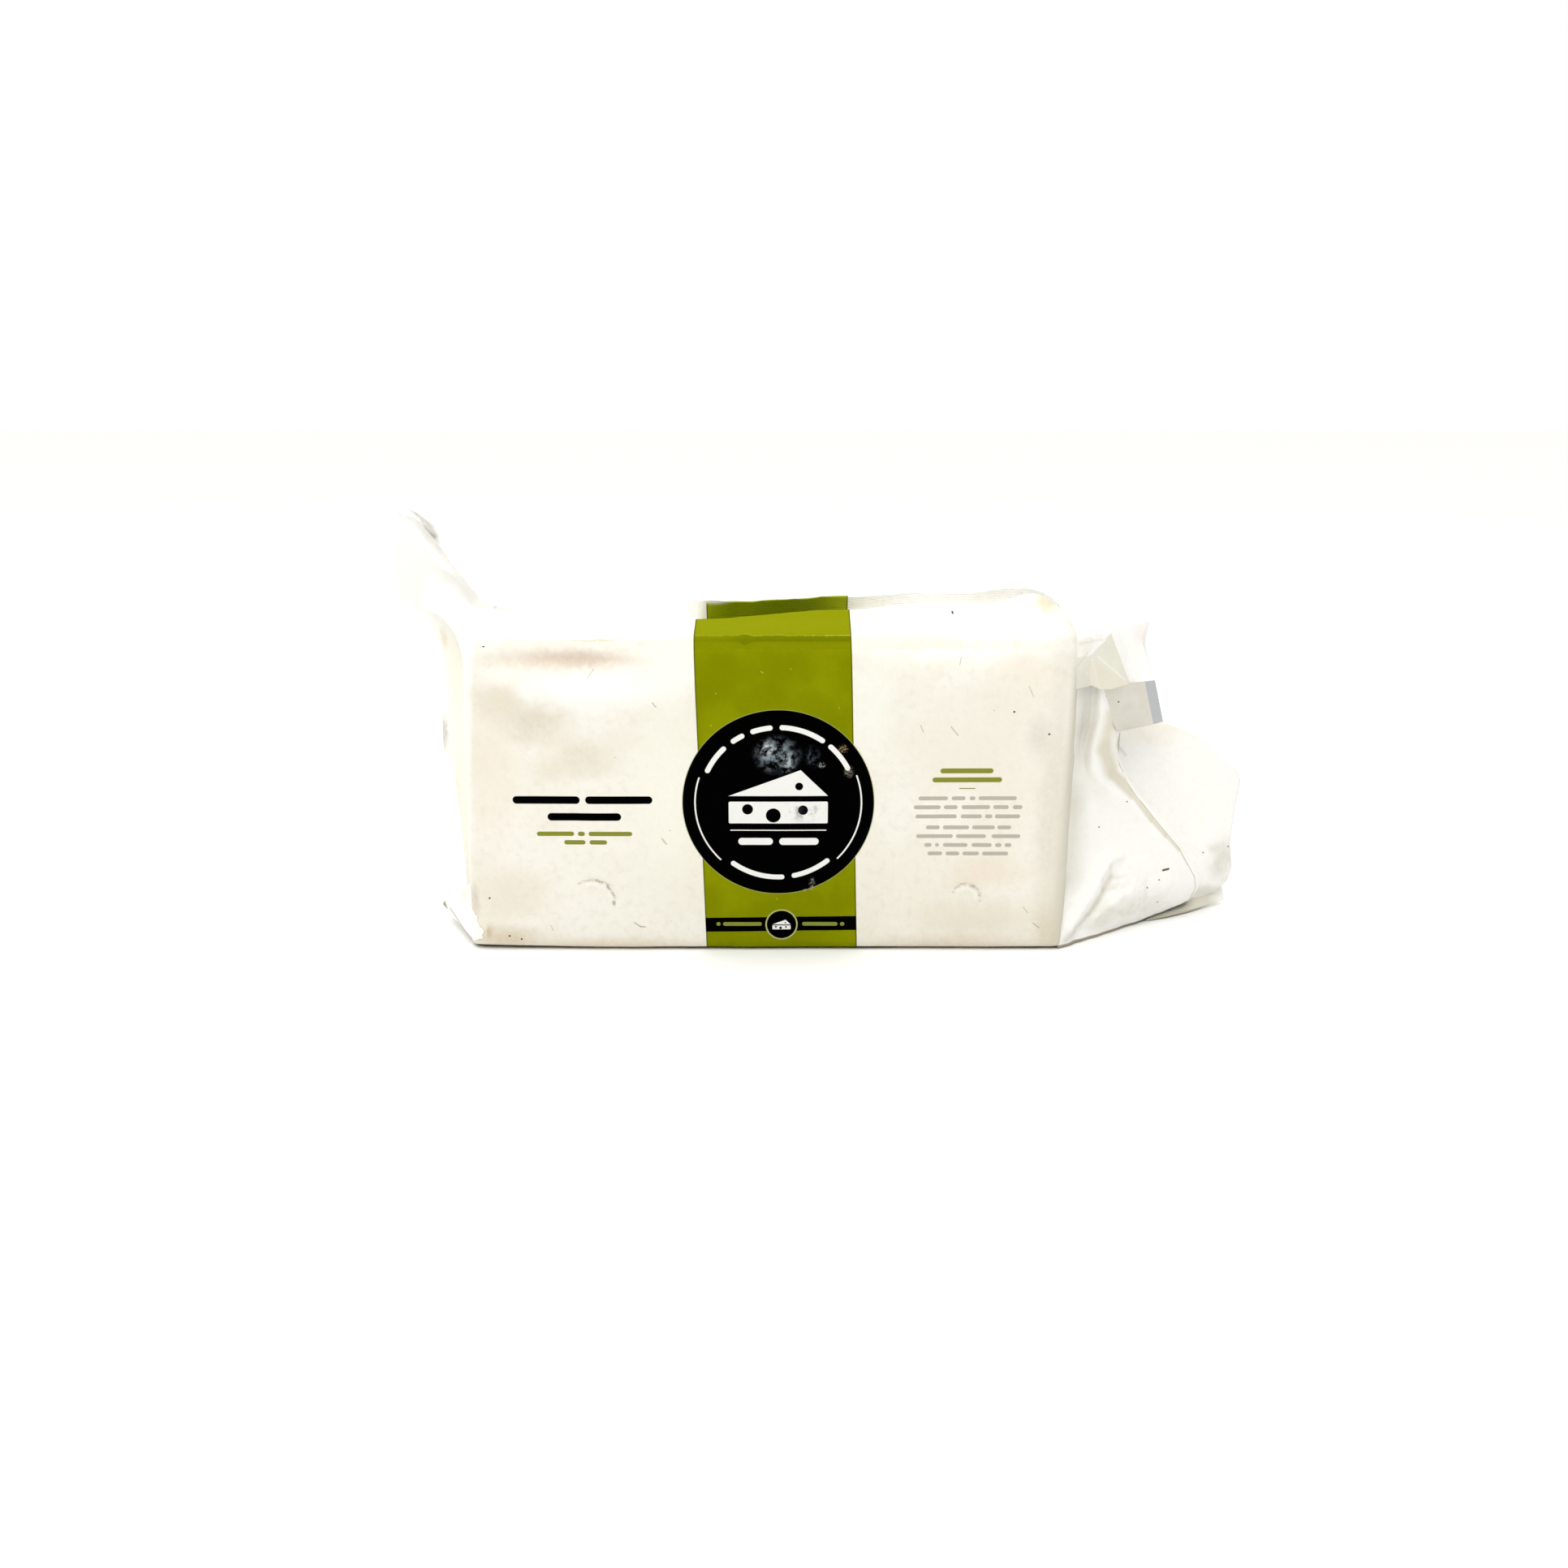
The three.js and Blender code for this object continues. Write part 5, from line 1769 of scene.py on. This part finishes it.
# %% Gusset folds
GUSSET_FOLDS = [
    ((74.0, 3.5), (93.5, 25.0), 2.6, 2.6),
    ((78.5, 1.5), (95.0, 18.5), -2.2, 2.2),
    ((83.0, 5.0), (97.0, 13.2), 1.3, 1.6),
    ((92.9, 18.7), (98.9, 19.1), 0.45, 0.9),
    ((92.4, 16.0), (97.5, 14.0), -0.4, 0.9),
    ((93.0, 12.7), (97.2, 13.8), 0.4, 0.9),
    ((93.1, 23.7), (98.2, 24.4), 0.45, 0.9),
    ((91.0, 10.0), (97.5, 5.7), -0.6, 1.0),
    ((97.5, 5.7), (101.1, 6.4), -0.5, 0.9),
    ((83.6, 4.1), (87.7, 5.1), 0.4, 0.8),
    ((99.9, 22.3), (102.6, 20.1), 0.4, 0.8),
    ((90.5, 23.0), (98, 24.5), 0.9, 1.6),
    ((93, 20.8), (102, 12.3), 0.9, 1.5),
    ((95, 10), (108, 4.5), -0.5, 1.4),
    ((86, 8), (97, 2.5), 0.5, 1.2),
    ((80, 82), (77, 26), -0.3, 2.8),
    ((108, 16), (118, 12), 0.4, 1.4),
]
GUSSET_THICKNESS = 0.3
FLAT_EDGE_COLUMNS = 6

spots = places_of(gusset)
x, _, z = spots.T
relief = 0.35 * rumple(spots, 12, 5) + 0.16 * rumple(spots, 4.5, 6) + 0.07 * rumple(spots, 1.8, 7)
add_creases(relief, 1, x, z, GUSSET_FOLDS)
crumpled = swell(x, z, (93, 12), (15, 10), 1.0)
relief += crumpled * (1.7 * rumple(spots, 6, 8) + 0.9 * rumple(spots, 2.6, 9))
relief *= eased((x - 72) / 3) * (gusset_columns_at < GUSSET_ACROSS - FLAT_EDGE_COLUMNS)
push_out(gusset, relief * np.where(normals_of(gusset)[:, 1] < 0, 1, -1))

gusset.verts.index_update()
outer_edge = 2 * GUSSET_ACROSS // 3 + 1
for face in gusset.faces:
    turned_back = min(gusset_columns_at[vertex.index] for vertex in face.verts) >= outer_edge
    face.material_index = int(turned_back)
finish_piece("right_gusset", gusset, [loose_film, far_film], GUSSET_THICKNESS)

# %% [markdown]
# ## The flattened tail
# Behind the gusset the end of the tube lies flat and sticks out as a tail. Its lower edge curls back.
# A flat sheet cut to the outline would have no curl, so the sheet is spanned between a straight line in
# the pack and its outer edge, row by row, and then bent.

# %% Tail
TAIL_EDGE = [
    (112, 2.0),
    (118, 1.6),
    (124, 1.7),
    (129.5, 2.9),
    (134.5, 5.8),
    (137.8, 9.6),
    (138.9, 15),
    (138.2, 22.6),
    (139.8, 33.7),
    (141.6, 43.5),
    (139.8, 47.6),
    (133.8, 52.4),
    (128, 57.7),
    (120.3, 61.4),
    (108, 66),
]
TAIL_ROOT = [(90, 6), (90, 30), (90, 50), (91, 70)]
TAIL_LEAN = 0.18
TAIL_THICKNESS = 0.4
TAIL_ACROSS = 80
TAIL_UP = 110
tail, tail_columns_at, tail_rows_at = web(TAIL_ACROSS, TAIL_UP)
shares = np.linspace(0, 1, TAIL_UP + 1)
outer = polyline(TAIL_EDGE, shares)
root = polyline(TAIL_ROOT, shares)
share = tail_columns_at / TAIL_ACROSS
x = mix(root[tail_rows_at, 0], outer[tail_rows_at, 0], share)
z = mix(root[tail_rows_at, 1], outer[tail_rows_at, 1], share)
foot_curl = 7.0 * np.clip((17 - z) / 17, 0, 1) ** 2 * mix(0.25, 1, eased((x - 120) / 14))
side_curl = 2.5 * np.clip((x - 128) / 14, 0, 1) ** 2
wave = 0.9 * np.sin((x + z) / 13.0) * share
lean_back = TAIL_LEAN * (z - 20) * eased(share * 2)
y = -0.5 + foot_curl + side_curl + wave + lean_back
spots = np.column_stack([x, y, z])
y = y + 0.5 * rumple(spots, 16, 10) * share + 0.15 * rumple(spots, 5, 11) * share
lay_out(tail, np.column_stack([x, y, z]))
finish_piece("right_tail", tail, [loose_film, far_film], TAIL_THICKNESS)

# %% [markdown]
# ## The flap under the tail
# A second layer of spare film lies nearly flat under the tail, in its shadow, and only its front edge and
# its tip show. It is spanned between its two long edges. A cut-out plane would lie too flat, so the back
# edge is lifted towards the tail and the whole is rumpled a little.

# %% Flap
FLAP_BACK = [(109, -9.0, 1.2), (116, -5.5, 2.0), (124, -2.0, 3.0), (131, 1.5, 4.6), (137.2, 4.2, 7.4)]
FLAP_FRONT = [(107, -15, 0.4), (115, -12, 0.5), (123.4, -7.2, 0.6), (130.5, -2.5, 0.8), (137.8, 1.4, 1.4)]
FLAP_ACROSS = 70
FLAP_UP = 20
FLAP_THICKNESS = 0.2
flap, flap_columns_at, flap_rows_at = web(FLAP_ACROSS, FLAP_UP)
shares = np.linspace(0, 1, FLAP_ACROSS + 1)
back_edge = polyline(FLAP_BACK, shares)[flap_columns_at]
front_edge = polyline(FLAP_FRONT, shares)[flap_columns_at]
spots = mix(front_edge, back_edge, (flap_rows_at / FLAP_UP)[:, None])
spots[:, 2] += 0.25 * (1 + rumple(spots, 6, 15)) * eased((spots[:, 0] - 107) / 4)
lay_out(flap, spots)
finish_piece("tail_flap", flap, [flap_film], FLAP_THICKNESS)

# %% [markdown]
# ## Crushed film above the gusset
# The spare film between the roof and the gusset is crushed into flat facets with sharp folds. A cloth
# simulation would crush it too, but into other folds, so each facet is a face between measured corners.
# The faces are cut finer, the folds are rounded by smoothing, and a small rumple breaks up the flats.

# %% Corners of the crushed film
CORNERS = {
    "panel": (73.6, -32, 100.2),
    "crease": (73.4, -35.8, 93.9),
    "hollow": (73.4, -36.0, 84.2),
    "cheek": (81.0, -27, 93.9),
    "dip": (82.0, -22.5, 83.0),
    "shoulder": (82.9, -22, 99.4),
    "apex": (89.4, -14.5, 98.5),
    "heel": (96.1, -17.5, 82.2),
    "sill": (85.8, -22, 81.4),
    "brow": (101.8, -4.5, 94.3),
    "mid top": (95.2, -7, 98.6),
    "spike": (104.8, -1.5, 100.4),
    "wing": (104.0, -9, 86.0),
    "strip top": (105.1, -12, 82.4),
    "ridge": (72, -13, 108.5),
    "crown": (82.4, -15, 104.2),
    "fin foot": (76, 0.5, 99),
    "back top": (97, 1.2, 98),
    "back side": (104.5, 1.2, 92),
    "back low": (100, 1.2, 80),
}
print("corners:", len(CORNERS))

# %% Crushed film
CRUSH_CUTS = 15
CRUSH_THICKNESS = 0.3
FACETS = [
    ("panel", "shoulder", "cheek"),
    ("panel", "cheek", "crease"),
    ("crease", "cheek", "dip", "hollow"),
    ("cheek", "sill", "dip"),
    ("cheek", "shoulder", "apex"),
    ("cheek", "apex", "heel"),
    ("cheek", "heel", "sill"),
    ("apex", "mid top", "brow", "heel"),
    ("brow", "wing", "heel"),
    ("wing", "strip top", "heel"),
    ("mid top", "spike", "brow"),
    ("ridge", "crown", "shoulder", "panel"),
    ("crown", "apex", "shoulder"),
    ("crown", "mid top", "apex"),
    ("ridge", "fin foot", "crown"),
    ("fin foot", "back top", "crown"),
    ("crown", "back top", "mid top"),
    ("mid top", "back top", "spike"),
    ("back top", "back side", "spike"),
    ("fin foot", "back low", "back side", "back top"),
    ("spike", "back side", "wing", "brow"),
    ("wing", "back side", "back low", "strip top"),
    ("strip top", "back low", "sill", "heel"),
]
crush = bmesh.new()
corner_verts = {name: crush.verts.new(place) for name, place in CORNERS.items()}
for facet in FACETS:
    crush.faces.new([corner_verts[name] for name in facet])
bmesh.ops.triangulate(crush, faces=crush.faces)
bmesh.ops.recalc_face_normals(crush, faces=crush.faces)
bmesh.ops.subdivide_edges(crush, edges=crush.edges, cuts=CRUSH_CUTS, use_grid_fill=True)
smooth_film(crush, crush.verts)
spots = places_of(crush)
wrinkled = 1 + 1.2 * eased((spots[:, 2] - 93) / 4) * eased((92 - spots[:, 0]) / 6)
push_out(crush, (0.35 * rumple(spots, 7, 12) + 0.14 * rumple(spots, 2.6, 13)) * wrinkled)
finish_piece("crushed_top", crush, [loose_film], CRUSH_THICKNESS)

# %% [markdown]
# ## The hanging strip
# The end of the fin hangs down over the gusset as a flat strip. Its cut end carries a grey bar, which
# the wrapping machine reads to know where to cut. A box would be flat and stiff. A grid between four
# corners can bow a little and crinkle.

# %% Strip
STRIP_CORNERS = {
    "top left": (83.2, -19.6, 83.0),
    "top right": STRIP_TOP,
    "low right": STRIP_END,
    "low left": (93.4, -14.5, 66.0),
}
STRIP_ACROSS = 44
STRIP_UP = 28
STRIP_THICKNESS = 0.4
strip, strip_columns_at, strip_rows_at = web(STRIP_ACROSS, STRIP_UP)
share_x = (strip_columns_at / STRIP_ACROSS)[:, None]
share_z = (strip_rows_at / STRIP_UP)[:, None]
corner = {name: np.array(place, dtype=float) for name, place in STRIP_CORNERS.items()}
low = mix(corner["low left"], corner["low right"], share_x)
high = mix(corner["top left"], corner["top right"], share_x)
spots = mix(low, high, share_z)
spots[:, 1] += -0.8 * np.sin(share_x[:, 0] * np.pi) + 0.25 * rumple(spots, 7, 14)
lay_out(strip, spots)
finish_piece("hanging_strip", strip, [strip_film], STRIP_THICKNESS)

# %% [markdown]
# ## Handing the pieces over
# Every piece rides on the one body, and the CAD node that the pieces cover is hidden.

# %% Ride and hide the CAD node
for piece in pieces:
    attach(piece, "root")
    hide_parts("pack")
